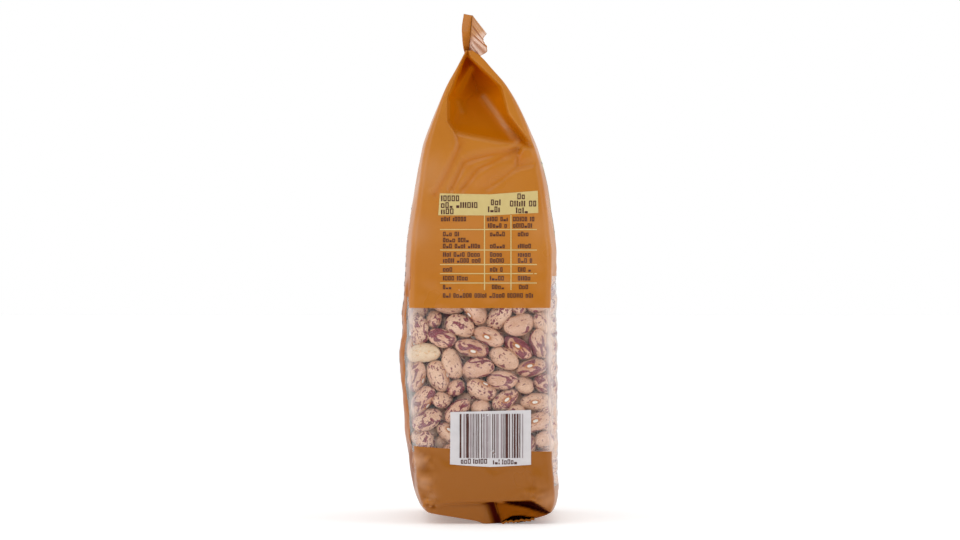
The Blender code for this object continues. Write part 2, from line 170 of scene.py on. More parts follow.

# Painted highlights inside the near gable, along ridges that lift its painted shade, as points (x, z), width
# and amount
RIDGE_HIGHLIGHTS = (
    (((1.5, 193.7), (8.6, 184), (16.6, 172.8)), 2, 0.85),
    (((-9.9, 191), (-8.1, 186.5)), 3, 0.5),
    (((-14.2, 190.5), (-14.4, 182), (-11, 176.5)), 1.8, 0.6),
    (((-4, 206), (-9.5, 196)), 2.4, 0.3),
)

# Soft patches of the near side with a painted pale sheen, or with painted shade, as x, z, radius and amount
SHEEN_PATCHES = (
    (-28, 28.5, 3.4, 0.75), (-25.5, 19, 3.2, 0.5), (30.5, 11.5, 4, 0.35), (-21.5, 12.5, 2, 0.3),
    (-22, 158, 8, 0.22), (-29, 132, 7, 0.30), (-6, 136, 16, 0.10), (28, 134, 8, 0.14),
)
SHADE_PATCHES = ((18.3, 166, 3.4, 0.36), (17.6, 162.5, 2.2, 0.2))


def along(knots, t):
    """A smooth curve through the knots (t, value), with no overshoot between them."""
    at, value = np.array(knots).T
    slope = np.diff(value) / np.diff(at)
    tangent = np.zeros(len(at))
    tangent[0], tangent[-1] = slope[0], slope[-1]
    same = slope[:-1] * slope[1:] > 0
    total = np.where(same, slope[:-1] + slope[1:], 1.0)
    tangent[1:-1] = np.where(same, 2 * slope[:-1] * slope[1:] / total, 0.0)
    t = np.clip(np.asarray(t, float), at[0], at[-1])
    i = np.clip(np.searchsorted(at, t) - 1, 0, len(at) - 2)
    width = at[i + 1] - at[i]
    k = (t - at[i]) / width
    return (
        value[i] * (1 + 2 * k) * (1 - k) ** 2
        + value[i + 1] * k * k * (3 - 2 * k)
        + tangent[i] * width * k * (1 - k) ** 2
        - tangent[i + 1] * width * k * k * (1 - k)
    )


def straight(knots, t):
    """Straight runs between the knots."""
    at, value = np.array(knots).T
    return np.interp(t, at, value)


def reached(value, start, run):
    """0 up to start, 1 from a run past it and even between them, downwards if the run is negative."""
    return np.clip((value - start) / run, 0, 1)


def bell(value, middle, width):
    """1 at the middle, fading to both sides over the width."""
    return np.exp(-(((value - middle) / width) ** 2))


def gable_depth(x, z):
    """How far the gusset is folded in at the gable, with slightly rounded folds."""
    walls = np.stack((
        GABLE_SIDE_SLOPE * (x - straight(GABLE_LEFT, z)),
        GABLE_SIDE_SLOPE * (straight(GABLE_RIGHT, z) - x),
        GABLE_FLOOR_SLOPE * (z - straight(GABLE_FOLD, x)),
    ))
    least = walls.min(0)
    soft = least - FOLD_SOFTNESS * np.log(np.exp(-(walls - least) / FOLD_SOFTNESS).sum(0))
    inside = FOLD_SOFTNESS * np.logaddexp(0.0, soft / FOLD_SOFTNESS)
    return GABLE_STEP * (1 - np.exp(-inside / GABLE_STEP_RUN)) + GABLE_REST * inside


def past_slit(x, z):
    """How far to the right of the tuck's slit the points (x, z) are."""
    return x - SLIT_TOP[0] - SLIT_LEAN * (SLIT_TOP[1] - z)


def tuck_hollow(x, z):
    """Depth of the slit, the pocket under the fold and the mouth under the right flap's lip."""
    under, from_slit = along(TUCK_FOLD, x) - z, past_slit(x, z)
    beside = np.where(from_slit < 0, 1 + from_slit / SLIT_WIDTH_LEFT, 1 - from_slit / SLIT_WIDTH_RIGHT)
    slit = SLIT_DEPTH * np.clip(beside, 0, 1) ** SLIT_POWER
    pocket = POCKET_DEPTH * reached(z - straight(POCKET_EDGE, x), 0, 0.6) * reached(x, POCKET_START, 3.0)
    mouth = MOUTH_DEPTH * (1 - np.exp(-np.maximum(along(TUCK_LIP, x) - z, 0) / 0.4))
    mouth = mouth * reached(x, LIP_START, 1.5) * reached(x, LIP_END, -1.2)
    line = LINE_DEPTH * bell(under, 0.7, 0.6) * reached(x, LINE_START, 14.0) * reached(x, LINE_END, -3.0)
    opened = 1 - np.exp(-np.maximum(under, 0) / 0.35)
    return (np.maximum(np.maximum(slit, pocket), mouth) + line) * opened


def tuck_depth(x, z):
    """How far the gusset is tucked in below its lower fold."""
    under = np.maximum(along(TUCK_FOLD, x) - z, 0)
    step = TUCK_STEP * (1 - np.exp(-under / 0.5))
    over_lip = bell(z - along(TUCK_LIP, x), 0.7, 0.8)
    roll = LIP_ROLL * over_lip * reached(x, LIP_START, 1.5) * reached(under, 0, 1)
    return step + TUCK_SLOPE * under - roll + tuck_hollow(x, z)


def corner_lines(z):
    """X of the left and right corner lines at height z, and how far the faces swell past them."""
    swell_left, swell_right = along(LEFT_SWELL, z), along(RIGHT_SWELL, z)
    left, right = along(LEFT_FACE, z), along(RIGHT_FACE, z)
    more_left, more_right = BULGE_LEFT * np.abs(left), BULGE_RIGHT * np.abs(right)
    return left + swell_left, right - swell_right, swell_left + more_left, swell_right + more_right


def gusset_y(x, z):
    """Distance of the gusset's filled surface from the middle of the pack."""
    left, right, _, _ = corner_lines(z)
    share = np.clip((x - left) / (right - left), 0.0, 1.0)
    return CORNER_Y + along(GUSSET_SWELL, z) * 4 * share * (1 - share)


def gable_stations(left, right, z):
    """X of the folds across the gusset at height z."""
    fold_slope = (GABLE_FOLD[1][1] - GABLE_FOLD[0][1]) / (GABLE_FOLD[1][0] - GABLE_FOLD[0][0])
    rise = GABLE_FLOOR_SLOPE * (z - GABLE_FOLD[0][1] + fold_slope * GABLE_FOLD[0][0])
    tilt = GABLE_FLOOR_SLOPE * fold_slope
    start, end = straight(GABLE_LEFT, z), straight(GABLE_RIGHT, z)
    valley_left = (GABLE_SIDE_SLOPE * start + rise) / (GABLE_SIDE_SLOPE + tilt)
    valley_right = (GABLE_SIDE_SLOPE * end - rise) / (GABLE_SIDE_SLOPE - tilt)
    if valley_left > valley_right:
        valley_left = valley_right = (start + end) / 2
    centre = (valley_left + valley_right) / 2
    strips = (left + start) / 2, (end + right) / 2
    across = [left, strips[0], start, valley_left, centre, valley_right, end, strips[1], right]
    return np.maximum.accumulate(np.clip(across, left, right))


def tuck_stations(left, right):
    """X of the folds across the gusset's tuck."""
    low, high = SLIT_X - SLIT_HALF, SLIT_X + SLIT_HALF
    return np.array([*np.linspace(left, low, 4), SLIT_X, *np.linspace(high, right, 4)])


def stations(left, right, z):
    """X across the gusset at height z: even on the filled part, and on the folds at both ends."""
    key = np.linspace(left, right, 9)
    if z < TUCK_END_Z:
        key = key + reached(z, TUCK_END_Z, TUCK_Z - TUCK_END_Z) * (tuck_stations(left, right) - key)
    else:
        folded = reached(z, GABLE_START_Z, GABLE_FULL_Z - GABLE_START_Z)
        key = key + folded * (gable_stations(left, right, z) - key)
    return np.interp(np.linspace(0, 8, 8 * STATION_STEPS + 1), np.arange(9), key)


def near_path(points, width, x, z):
    """1 on the path through the points, and fading to both sides of it."""
    nearest = np.full_like(x, 1e9)
    for (x0, z0), (x1, z1) in zip(points, points[1:]):
        run = (x1 - x0) ** 2 + (z1 - z0) ** 2
        t = np.clip(((x - x0) * (x1 - x0) + (z - z0) * (z1 - z0)) / run, 0, 1)
        nearest = np.minimum(nearest, np.hypot(x - x0 - t * (x1 - x0), z - z0 - t * (z1 - z0)))
    return bell(nearest, 0, 0.5 * width)


def crease_depth(x, z):
    """Depth of the near gusset's creases at points (x, z)."""
    return sum(depth * near_path(points, width, x, z) for points, depth, width, _, _ in CREASES)


def face_steps(reach, margin):
    """Y positions across a wide face, with columns on the margins' edges if there are margins."""
    if not margin:
        return np.linspace(-reach, reach, FACE_COLUMNS + 1)[1:-1]
    inner = max(reach - MARGIN_WIDTH, 0.6 * reach)
    side = np.linspace(reach, inner, MARGIN_COLUMNS + 1)
    middle = np.linspace(-inner, inner, FACE_COLUMNS - 2 * MARGIN_COLUMNS + 1)
    return np.concatenate((-side[1:-1], middle, side[1:-1][::-1]))


def film_row(z):
    """One ring of the film as an array of (x, y, z), and how many of its points lie on the near gusset."""
    left, right, swell_left, swell_right = corner_lines(z)
    radius = min(along(CORNER_ROUND, z), 0.45 * (right - left))
    arc = radius * (1 - np.cos(math.pi / 2 * np.arange(ARC_COLUMNS) / ARC_COLUMNS))
    x = np.concatenate((left + arc, stations(left + radius, right - radius, z), (right - arc)[::-1]))
    from_corner = np.minimum(np.minimum(x - left, right - x), radius)
    rounding = radius - np.sqrt(np.maximum(0.0, radius**2 - (radius - from_corner) ** 2))
    folded = rounding + gable_depth(x, z) + tuck_depth(x, z) - gusset_y(x, z)
    fade = reached(from_corner, 0, radius)
    near = np.stack((x, folded + crease_depth(x, np.full_like(x, z)) * fade), 1)
    far = np.stack((x, -folded), 1)[::-1]
    reach = CORNER_Y - radius - float(tuck_depth(np.array([left]), z)[0])
    right_y, left_y = face_steps(reach, False), face_steps(reach, True)
    right_face = np.stack((right + swell_right * (1 - (right_y / reach) ** 4), right_y), 1)
    left_face = np.stack((left - swell_left * (1 - (left_y / reach) ** 4), -left_y), 1)
    ring = np.concatenate((near, right_face, far, left_face))
    return np.column_stack((ring, np.full(len(ring), z))), len(near)


def film_grid():
    """The film as a grid of points, rows upwards and columns round the pack, and its near column count."""
    levels = [0.0]
    for low, high, steps in ROW_RUNS:
        levels += list(np.linspace(low, high, steps + 1)[1:])
    rows = [film_row(z) for z in levels]
    grid = np.stack([row for row, _ in rows])
    near_count = rows[0][1]
    bow = straight(WINDOW_BOW, np.linspace(0, 1, near_count))
    grid[:, :near_count, 2] += bow * bell(grid[:, :near_count, 2], GUSSET_WINDOW[0], WINDOW_BOW_REACH)
    return grid, np.array(levels), near_count


def grid_normals(grid):
    """Unit normals of a grid that closes round its columns, pointing outwards."""
    around = np.roll(grid, -1, 1) - np.roll(grid, 1, 1)
    upward = np.gradient(grid, axis=0)
    normal = np.cross(around, upward)
    return normal / np.maximum(np.linalg.norm(normal, axis=2, keepdims=True), 1e-9)


def waves(grid, scale, seed):
    """Smooth noise between about -1 and 1 at each point of a grid."""
    flat = (grid.reshape(-1, 3) / scale) + seed * 7.3
    return np.array([noise.noise(Vector(p)) for p in flat]).reshape(grid.shape[:2])


def smoothed(grid):
    """The grid with each point moved halfway to the mean of its neighbours."""
    mean = (np.roll(grid, 1, 1) + np.roll(grid, -1, 1)) / 4
    mean[1:-1] += (grid[2:] + grid[:-2]) / 4
    mean[0] += grid[0] / 2
    mean[-1] += grid[-1] / 2
    return 0.5 * grid + 0.5 * mean


def wrinkled(grid):
    """The film's grid with the soft waves of loose film, stronger on the upper part."""
    normal = grid_normals(grid)
    z = grid[..., 2]
    loose = np.interp(z, (0, 12, 40, 95, 125, 180, 200, NECK_Z), (0.1, 0.6, 0.3, 0.3, 0.9, 0.9, 0.4, 0.0))
    broad = waves(grid, 26.0, 1) * 0.8 + waves(grid, 11.0, 2) * 0.35
    slack = np.interp(z, (10, 25, 105, 125), (0.0, 1.0, 1.0, 0.0)) * (normal[..., 0] < -0.8)
    slack = slack * reached(corner_distance(grid), 3.0, 5.0)
    wavy = SLACK * slack * waves(grid * (1.0, 0.4, 1.0), 9.0, 3)
    return grid + normal * (loose * broad + wavy + crumples(grid))[..., None]


def patches(grid, spots):
    """The amounts of soft round spots of the near side at each point of the film's grid."""
    total = np.zeros(grid.shape[:2])
    for x, z, radius, amount in spots:
        total += amount * bell(np.hypot(grid[..., 0] - x, grid[..., 2] - z), 0, radius)
    return total * reached(grid[..., 1], -34.0, -5.0)


def crumples(grid):
    """Height of the crumpled spots at each point of the film's grid."""
    return patches(grid, CRUMPLES) * waves(grid, 2.2, 4)


def corner_distance(grid):
    """How far each point of the film's grid is from the nearest upright corner."""
    z = grid[..., 2]
    left, right, _, _ = corner_lines(z)
    across = np.minimum(grid[..., 0] - left, right - grid[..., 0])
    return np.maximum(np.maximum(across, CORNER_Y - np.abs(grid[..., 1])), 0.0)


def draped(grid, levels, pieces):
    """The film's grid drawn in between the beans that it lies on, and nowhere through them."""
    points, faces = [], []
    for piece in pieces:
        start = len(points)
        points += [v.co / MM - Vector(BASE_SHIFT) for v in piece.data.vertices]
        faces += [tuple(start + i for i in polygon.vertices) for polygon in piece.data.polygons]
    tree = BVHTree.FromPolygons(points, faces)
    normal = grid_normals(grid)
    room = np.full(grid.shape[:2], DRAPE_FREE)
    for r in np.nonzero((levels > DRAPE_RANGE[0]) & (levels < DRAPE_RANGE[1]))[0]:
        for c in range(grid.shape[1]):
            way = Vector(normal[r, c])
            hit, _, _, distance = tree.ray_cast(Vector(grid[r, c]) + way * RAY_START, -way, RAY_LENGTH)
            if hit is not None:
                room[r, c] = distance - RAY_START
    left = (grid[..., 0] < DRAPE_LEFT_X) & (np.abs(grid[..., 1]) < CORNER_Y)
    least = np.minimum.reduce([np.roll(room, (i, j), (0, 1)) for i in (-1, 0, 1) for j in (-1, 0, 1)])
    room = np.where(left, least - DRAPE_LEFT_GAP, room)
    inward = np.clip(room - DRAPE_SKIN, -2.0, DRAPE_MOST)
    for _ in range(DRAPE_PASSES):
        around = [np.roll(inward, step, axis) for axis in (1, 0) for step in (1, -1)]
        inward = 0.4 * inward + 0.6 * sum(around) / 4
    inward = np.minimum(inward - DRAPE_OUT, room - DRAPE_SKIN)
    from_end = np.minimum(grid[..., 2] - DRAPE_RANGE[0], DRAPE_RANGE[1] - grid[..., 2])
    fade = reached(from_end, 0, 10.0) * reached(corner_distance(grid), 2.0, 7.0)
    return grid - normal * (inward * fade)[..., None]


def placed(points):
    """Points in metres, moved so that the origin is under the middle of the pack."""
    return (np.asarray(points, float) + BASE_SHIFT) * MM


def mesh_piece(name, points, faces, surface, slot, *nodes):
    """A smooth-shaded piece on the root body that stands for CAD nodes."""
    mesh = bpy.data.meshes.new(name)
    mesh.from_pydata([tuple(p) for p in placed(points)], [], [tuple(int(i) for i in f) for f in faces])
    mesh.validate()
    mesh.shade_smooth()
    mesh.materials.append(surface)
    piece = bpy.data.objects.new(name, mesh)
    bpy.context.collection.objects.link(piece)
    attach(piece, "root")
    if nodes:
        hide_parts(*nodes)
    return piece


def tag(piece, name, values):
    """Gives each point of a piece a number or a vector that its material reads."""
    values = np.asarray(values, np.float32)
    kind, key = ("FLOAT_VECTOR", "vector") if values.ndim == 2 else ("FLOAT", "value")
    piece.data.attributes.new(name, kind, "POINT").data.foreach_set(key, values.ravel())


def quads(rows, cols, closed=False):
    """The quads of a grid of points, row by row, and all the way round its columns if it is closed."""
    return [
        (r * cols + c, r * cols + (c + 1) % cols, (r + 1) * cols + (c + 1) % cols, (r + 1) * cols + c)
        for r in range(rows - 1) for c in range(cols if closed else cols - 1)
    ]


def caps(rows, cols):
    """The two ends of a grid that is closed round its columns."""
    return [tuple(range(cols))[::-1], tuple((rows - 1) * cols + c for c in range(cols))]


def film_piece(name, points, faces, surface, slot, looks):
    """A part of the film: the points that its faces use, and their values from the film's grid."""
    used = sorted({i for face in faces for i in face})
    number = {old: new for new, old in enumerate(used)}
    faces = [tuple(number[i] for i in face) for face in faces]
    piece = mesh_piece(name, points[used], faces, surface, slot, "bag")
    for key, values in looks.items():
        tag(piece, key, values.ravel()[used])


def painted_light(grid):
    """Painted light on the brown print at each point of the film's grid: shade in the folds, shade in the
    hollows and towards the lower end, and a pale sheen.
    """
    x, y, z = grid[..., 0], grid[..., 1], grid[..., 2]
    near, side, wide = y < -20, np.abs(y) > 20, np.abs(y) < CORNER_Y - 2
    # Painted shade in the gable's folds, stronger higher up, lifted by painted highlights along the ridges
    fold = reached(gable_depth(x, z), FOLD_START, FOLD_FULL_DEPTH) * straight(FOLD_SHADE_BY_HEIGHT, z)
    for points, width, amount in RIDGE_HIGHLIGHTS:
        fold *= 1 - amount * near_path(points, width, x, z) * near
    # Painted shade on the slack printed left side, on the tuck's right flap, in soft patches and along the
    # creases
    slack = reached(x, -28.5, -1.5) * reached(z, 150.0, -45.0) * wide
    under, from_slit = along(TUCK_FOLD, x) - z, past_slit(x, z)
    flap = FLAP_SHADE * reached(from_slit, 0, 2.0) * reached(under, 0, 1) * side
    fold = np.maximum.reduce([fold, flap, 0.5 * slack, patches(grid, SHADE_PATCHES)])
    for points, _, _, amount, width in CREASES:
        fold = np.maximum(fold, amount * near_path(points, width, x, z) * near)
    # Painted shade darker towards the lower end and on the slack side, painted shade in the tuck's hollows
    # with a painted pale highlight along the slit, and painted light and shade on the crumpled spots
    low = np.maximum(reached(z, 45.0, -12.0), 0.5 * slack)
    pale = bell(from_slit, 0.55, 0.28) * reached(z, 4.0, 1.0) * near
    hollow_shade = reached(tuck_hollow(x, z), 0, HOLLOW_SHADE_DEPTH) * side * (1 - 0.75 * pale)
    painted_shade = np.clip(np.maximum(hollow_shade, LOW_SHADE * low) - 0.5 * crumples(grid), 0, 1)
    # Painted sheen on soft patches and along the first of the ridges
    ridge_highlight = near_path(RIDGE_HIGHLIGHTS[0][0], RIDGE_HIGHLIGHTS[0][1], x, z) * near
    sheen = np.clip(np.maximum(patches(grid, SHEEN_PATCHES), 0.35 * ridge_highlight), 0, 1)
    return {"fold": fold, "painted_shade": painted_shade, "sheen": sheen}


def film_faces(grid, levels, near_count):
    """The film's quads, split into printed and clear ones, and its two ends as the last printed ones."""
    rows, cols = grid.shape[:2]
    right_end = near_count + FACE_COLUMNS - 1
    far_end = right_end + near_count
    printed, clear = [], []
    for index, face in enumerate(quads(rows, cols, True)):
        r, c = divmod(index, cols)
        if c < near_count - 1 or right_end <= c < far_end - 1:
            low, high = GUSSET_WINDOW
        elif c < right_end:
            low, high = WIDE_WINDOW
        elif c < far_end - 1 + MARGIN_COLUMNS or c >= cols - MARGIN_COLUMNS:
            low, high = MARGIN_WINDOW
        else:
            low = high = 0.0
        (clear if low < (levels[r] + levels[r + 1]) / 2 < high else printed).append(face)
    return printed + caps(rows, cols), clear


# Materials


class Nodes:
    """A material's node tree with short calls for what the materials below need."""

    def __init__(self, name):
        self.material = bpy.data.materials.new(name)
        self.material.use_nodes = True
        self.tree = self.material.node_tree
        self.shader = self.tree.nodes["Principled BSDF"]
        self.output = self.tree.nodes["Material Output"]
        self.place = self.add("ShaderNodeTexCoord").outputs["Object"]

    def add(self, kind, **values):
        node = self.tree.nodes.new(kind)
        for key, value in values.items():
            setattr(node, key, value)
        return node

    def link(self, source, target):
        self.tree.links.new(source, target)

    def feed(self, **sources):
        """Links sources to the shader's sockets, given as base_color, roughness and so on."""
        for key, source in sources.items():
            self.link(source, self.shader.inputs[key.replace("_", " ").title()])

    def put(self, socket, value):
        """Sets a socket to a number or a colour, or links it."""
        if isinstance(value, tuple):
            socket.default_value = (*value, 1.0)
        elif isinstance(value, (int, float)):
            socket.default_value = value
        elif value is not None:
            self.link(value, socket)

    def attribute(self, name, output="Fac"):
        return self.add("ShaderNodeAttribute", attribute_name=name).outputs[output]

    def noise(self, scale, detail=3.0, place=None, roughness=0.5, distortion=0.0):
        node = self.add("ShaderNodeTexNoise")
        values = (("Scale", scale), ("Detail", detail), ("Roughness", roughness), ("Distortion", distortion))
        for key, value in values:
            node.inputs[key].default_value = value
        self.link(place or self.place, node.inputs["Vector"])
        return node.outputs["Fac"]

    def ramp(self, value, *stops):
        node = self.add("ShaderNodeValToRGB")
        elements = node.color_ramp.elements
        while len(elements) < len(stops):
            elements.new(0.5)
        for element, (at, colour) in zip(elements, stops):
            element.position = at
            element.color = (*colour, 1.0) if isinstance(colour, tuple) else (colour, colour, colour, 1.0)
        self.link(value, node.inputs["Fac"])
        return node.outputs["Color"]

    def mottled(self, scale, detail, low, high, place=None):
        """Noise between two colours or two numbers."""
        return self.ramp(self.noise(scale, detail, place), (0.3, low), (0.7, high))

    def maths(self, operation, a, b=None, clamp=False):
        node = self.add("ShaderNodeMath", operation=operation, use_clamp=clamp)
        for socket, value in zip(node.inputs, (a, b)):
            self.put(socket, value)
        return node.outputs[0]

    def plus(self, a, b, clamp=False):
        return self.maths("ADD", a, b, clamp)

    def times(self, a, b, clamp=False):
        return self.maths("MULTIPLY", a, b, clamp)

    def mixed(self, factor, a, b):
        node = self.add("ShaderNodeMix", data_type="RGBA")
        for index, value in ((0, factor), (6, a), (7, b)):
            self.put(node.inputs[index], value)
        return node.outputs[2]

    def layered(self, factor, under, over):
        """One shader over another."""
        node = self.add("ShaderNodeMixShader")
        for socket, source in zip(node.inputs, (factor, under, over)):
            self.link(source, socket)
        return node.outputs[0]

    def bump(self, height, strength, distance, *shaders):
        node = self.add("ShaderNodeBump")
        node.inputs["Strength"].default_value = strength
        node.inputs["Distance"].default_value = distance
        self.link(height, node.inputs["Height"])
        for shader in shaders or (self.shader,):
            self.link(node.outputs["Normal"], shader.inputs["Normal"])


def film_material():
    """Printed caramel film with a satin gloss and fine wrinkles, and with painted shade and painted sheen
    from its attributes.
    """
    m = Nodes("printed_film")
    # The three attributes carry painted light: shade in the folds and hollows and towards the lower end, and
    # a pale sheen
    fold, painted_shade, sheen = (m.attribute(name) for name in ("fold", "painted_shade", "sheen"))
    # Painted shade in the gable's folds and on the tuck's right flap: a darker, more saturated brown
    folds = (FLAP_SHADE, (0.48, 0.135, 0.001)), (0.75, (0.52, 0.138, 0.0006)), (1.0, (0.28, 0.030, 0.0003))
    folded = m.times(fold, 1 / FLAP_SHADE, True)
    colour = m.mottled(38.0, 2.0, (0.465, 0.155, 0.010), (0.505, 0.180, 0.015))
    colour = m.mixed(folded, colour, m.ramp(fold, *folds))
    # Painted shade towards the lower end of the pack and in the tuck's hollows, with a near-black painted
    # shade in the darkest hollows
    shade_tone = m.mixed(folded, (0.33, 0.105, 0.0065), (0.25, 0.062, 0.0006))
    colour = m.mixed(m.times(painted_shade, 1 / LOW_SHADE, True), colour, shade_tone)
    colour = m.mixed(m.ramp(painted_shade, (LOW_SHADE, 0.0), (0.9, 1.0)), colour, (0.075, 0.005, 0.002))
    # Painted pale sheen
    colour = m.mixed(sheen, colour, (0.58, 0.31, 0.17))
    m.feed(base_color=colour, roughness=m.mottled(70.0, 2.0, 0.26, 0.36))
    m.bump(m.noise(140.0, 2.0), 0.35, 0.0005)
    m.shader.inputs["IOR"].default_value = 1.45
    # Less gloss where the print has painted shade
    gloss = m.ramp(m.maths("MAXIMUM", fold, painted_shade), (0.33, 0.36), (0.5, 0.04))
    m.link(gloss, m.shader.inputs["Specular IOR Level"])
    return m.material


def rib_sheen_material():
    """The right seal leaf's inner faces: a painted pinkish sheen on the ribs and towards the leaf's lower
    end, painted brown shade in the ribs' grooves.
    """
    m = Nodes("seal_rib_sheen")
    split = m.add("ShaderNodeSeparateXYZ")
    m.link(m.place, split.inputs[0])
    # Painted pinkish sheen towards the lower end, brown above
    height = m.plus(m.times(split.outputs["Z"], 100.0), m.times(split.outputs["X"], -45.0))
    side = m.ramp(m.maths("SUBTRACT", height, 21.7), (0.25, (0.76, 0.52, 0.40)), (0.50, (0.56, 0.27, 0.11)))
    # Painted brown shade in the ribs' grooves
    colour = m.mixed(m.ramp(m.attribute("rib"), (0.10, 0.0), (0.80, 1.0)), (0.33, 0.10, 0.02), side)
    m.feed(base_color=colour, roughness=m.mottled(90.0, 2.0, 0.28, 0.40))
    m.bump(m.noise(400.0, 2.0), 0.3, 0.0003)
    return m.material


def clear_material():
    """Clear glossy film with a little haze, and more of it along the pack's corners."""
    m = Nodes("clear_film")
    m.tree.nodes.remove(m.shader)
    through, gloss, haze = (m.add("ShaderNodeBsdf" + kind) for kind in ("Transparent", "Glossy", "Diffuse"))
    gloss.inputs["Roughness"].default_value = 0.16
    haze.inputs["Color"].default_value = (0.95, 0.90, 0.86, 1.0)
    m.bump(m.noise(130.0), 0.4, 0.0006, gloss, haze)
    weight = m.add("ShaderNodeLayerWeight")
    weight.inputs["Blend"].default_value = 0.5
    facing = weight.outputs["Facing"]
    cloud = m.ramp(m.noise(60.0), (0.35, 0.0), (0.75, 0.06))
    edge_cloud = m.times(m.attribute("rim"), m.ramp(m.noise(55.0), (0.35, 0.26), (0.60, 0.66)))
    slant = m.times(m.maths("POWER", facing, 3.0), 0.25)
    hazy = m.layered(m.plus(m.plus(cloud, slant), edge_cloud, True), through.outputs[0], haze.outputs[0])
    mirrored = m.plus(m.times(m.maths("POWER", facing, 5.0), 0.5), 0.04)
    m.link(m.layered(mirrored, hazy, gloss.outputs[0]), m.output.inputs["Surface"])
    return m.material


def ink_material(name, light, dark, roughness):
    """A printed ink on the film."""
    m = Nodes(name)
    m.feed(
        base_color=m.mottled(300.0, 3.0, dark, light),
        roughness=m.mottled(500.0, 3.0, roughness - 0.05, roughness + 0.05),
    )
    m.bump(m.noise(150.0), 0.3, 0.0004)
    return m.material


def bean_material(name, ground, ground_dark, mark, cover, streaky):
    """Seed coats in bean coordinates: ground, maroon marks that follow the bean's length, and a hilum."""
    m = Nodes(name)
    own, local = m.attribute("bean_place", "Vector"), m.attribute("bean_local", "Vector")
    stretch = m.add("ShaderNodeMapping", vector_type="POINT")
    stretch.inputs["Scale"].default_value = (0.42 if streaky else 0.75, 1.0, 1.0)
    m.link(own, stretch.inputs["Vector"])
    place = stretch.outputs["Vector"]
    broad = m.noise(0.32 if streaky else 0.55, 1.6, place, 0.45, 0.8)
    fleck = m.noise(1.05, 1.5, place, 0.5, 0.2)
    shift = m.times(m.maths("SUBTRACT", m.attribute("bean_chance"), 0.5), 0.12)
    spots = m.ramp(m.plus(broad, shift), (cover, 0.0), (cover + 0.03, 1.0))
    flecks = m.ramp(m.plus(fleck, m.times(shift, 0.6)), (0.61, 0.0), (0.65, 0.9))
    tint = m.mottled(0.22, 2.0, ground_dark, ground, own)
    mark_tint = m.ramp(m.noise(0.8, 2.0, own), (0.3, mark), (0.75, tuple(1.8 * c for c in mark)))
    split = m.add("ShaderNodeSeparateXYZ")
    m.link(local, split.inputs[0])
    x, y, z = (split.outputs[axis] for axis in "XYZ")
    belly = m.plus(m.maths("DIVIDE", y, -4.6), m.times(shift, 2.0))
    tint = m.mixed(m.ramp(belly, (0.72, 0.0), (1.0, 0.6)), tint, (0.50, 0.20, 0.07))
    coat = m.mixed(m.maths("MAXIMUM", spots, flecks), tint, mark_tint)
    spread = m.plus(*(m.maths("POWER", m.maths("DIVIDE", *pair), 2.0) for pair in ((x, 1.45), (z, 0.75))))
    below = m.maths("LESS_THAN", y, 0.0)
    hilum = (
        (((0.22, 1.0), (0.60, 0.0)), (0.46, 0.15, 0.035)),
        (((0.10, 1.0), (0.15, 0.0)), (0.80, 0.74, 0.66)),
    )
    for stops, colour in hilum:
        coat = m.mixed(m.times(m.ramp(m.maths("DIVIDE", spread, 6.0), *stops), below), coat, colour)
    m.feed(base_color=coat, roughness=m.ramp(broad, (0.3, 0.36), (0.7, 0.48)))
    m.bump(m.noise(1.6, 2.0, own), 0.25, 0.0003)
    return m.material


# Beans

BEAN_COUNT = 352
BEAN_HALF = (7.3, 4.8, 4.05)
BEAN_SUB_AT = np.array((-0.42, 0.0, 0.42))
BEAN_SUB_HALF = np.array(((0.58, 0.84, 0.86), (0.62, 1.0, 1.0), (0.58, 0.84, 0.86)))
SHELL_DEPTH = 15.5
HEAP_LOW, HEAP_HIGH = 8.0, 121.0
FILM_CLEARANCE = 0.5
TUCK_CLEAR_Z, TUCK_CLEAR_Y = 18.0, 14.0
SETTLE_STEPS = 240
WALL_STEPS = 12
PALE_BEAN = (-21.0, 78.0)
SEED = 11

# How the beans start, grow and move: tilt, spread of each half size and of the whole bean, the share on their
# side, the size they start at, and the most that a push, a wall or a turn moves them in one step
BEAN_TILT, HALF_SPREAD, BEAN_SPREAD, ROLLED_SHARE = 0.22, 0.08, 0.05, 0.3
START_SIZE, GROWTH, GROWING_SHARE = 0.55, 0.45, 0.6
PUSH_MOST, WALL_MOST, TURN_MOST = 1.2, 2.5, 0.15

# Which beans are made finely, and the chances of the streaked and of the pale kind
NEAR_FILM = 7.0
STREAKED_BELOW, PALE_ABOVE = 0.62, 0.985

# The dark core, painted shade that stands for the shadow inside the bean heap: its inset, distance from the
# printed side, corner radius and rings
CORE_INSET, CORE_LEFT, CORE_ROUND, CORE_RINGS = 12.5, 7.0, 3.0, 24


def turned(vectors):
    """Rotation matrices of rotation vectors."""
    angle = np.linalg.norm(vectors, axis=1)
    axis = vectors / np.maximum(angle, 1e-9)[:, None]
    k = np.zeros((len(vectors), 3, 3))
    k[:, 0, 1], k[:, 0, 2], k[:, 1, 2] = -axis[:, 2], axis[:, 1], -axis[:, 0]
    k[:, 1, 0], k[:, 2, 0], k[:, 2, 1] = axis[:, 2], -axis[:, 1], axis[:, 0]
    s, c = np.sin(angle)[:, None, None], np.cos(angle)[:, None, None]
    return np.eye(3) + s * k + (1 - c) * (k @ k)


def wall_depths(p):
    """Distance of points inside the near, right, far and left film."""
    x, y, z = p.T
    left, right, swell_left, swell_right = corner_lines(z)
    reach = CORNER_Y - 4.0
    bow = np.maximum(0.0, 1 - (y / reach) ** 4)
    side = gusset_y(x, z)
    return side + y, right + swell_right * bow - x, side - y, x - left + swell_left * bow


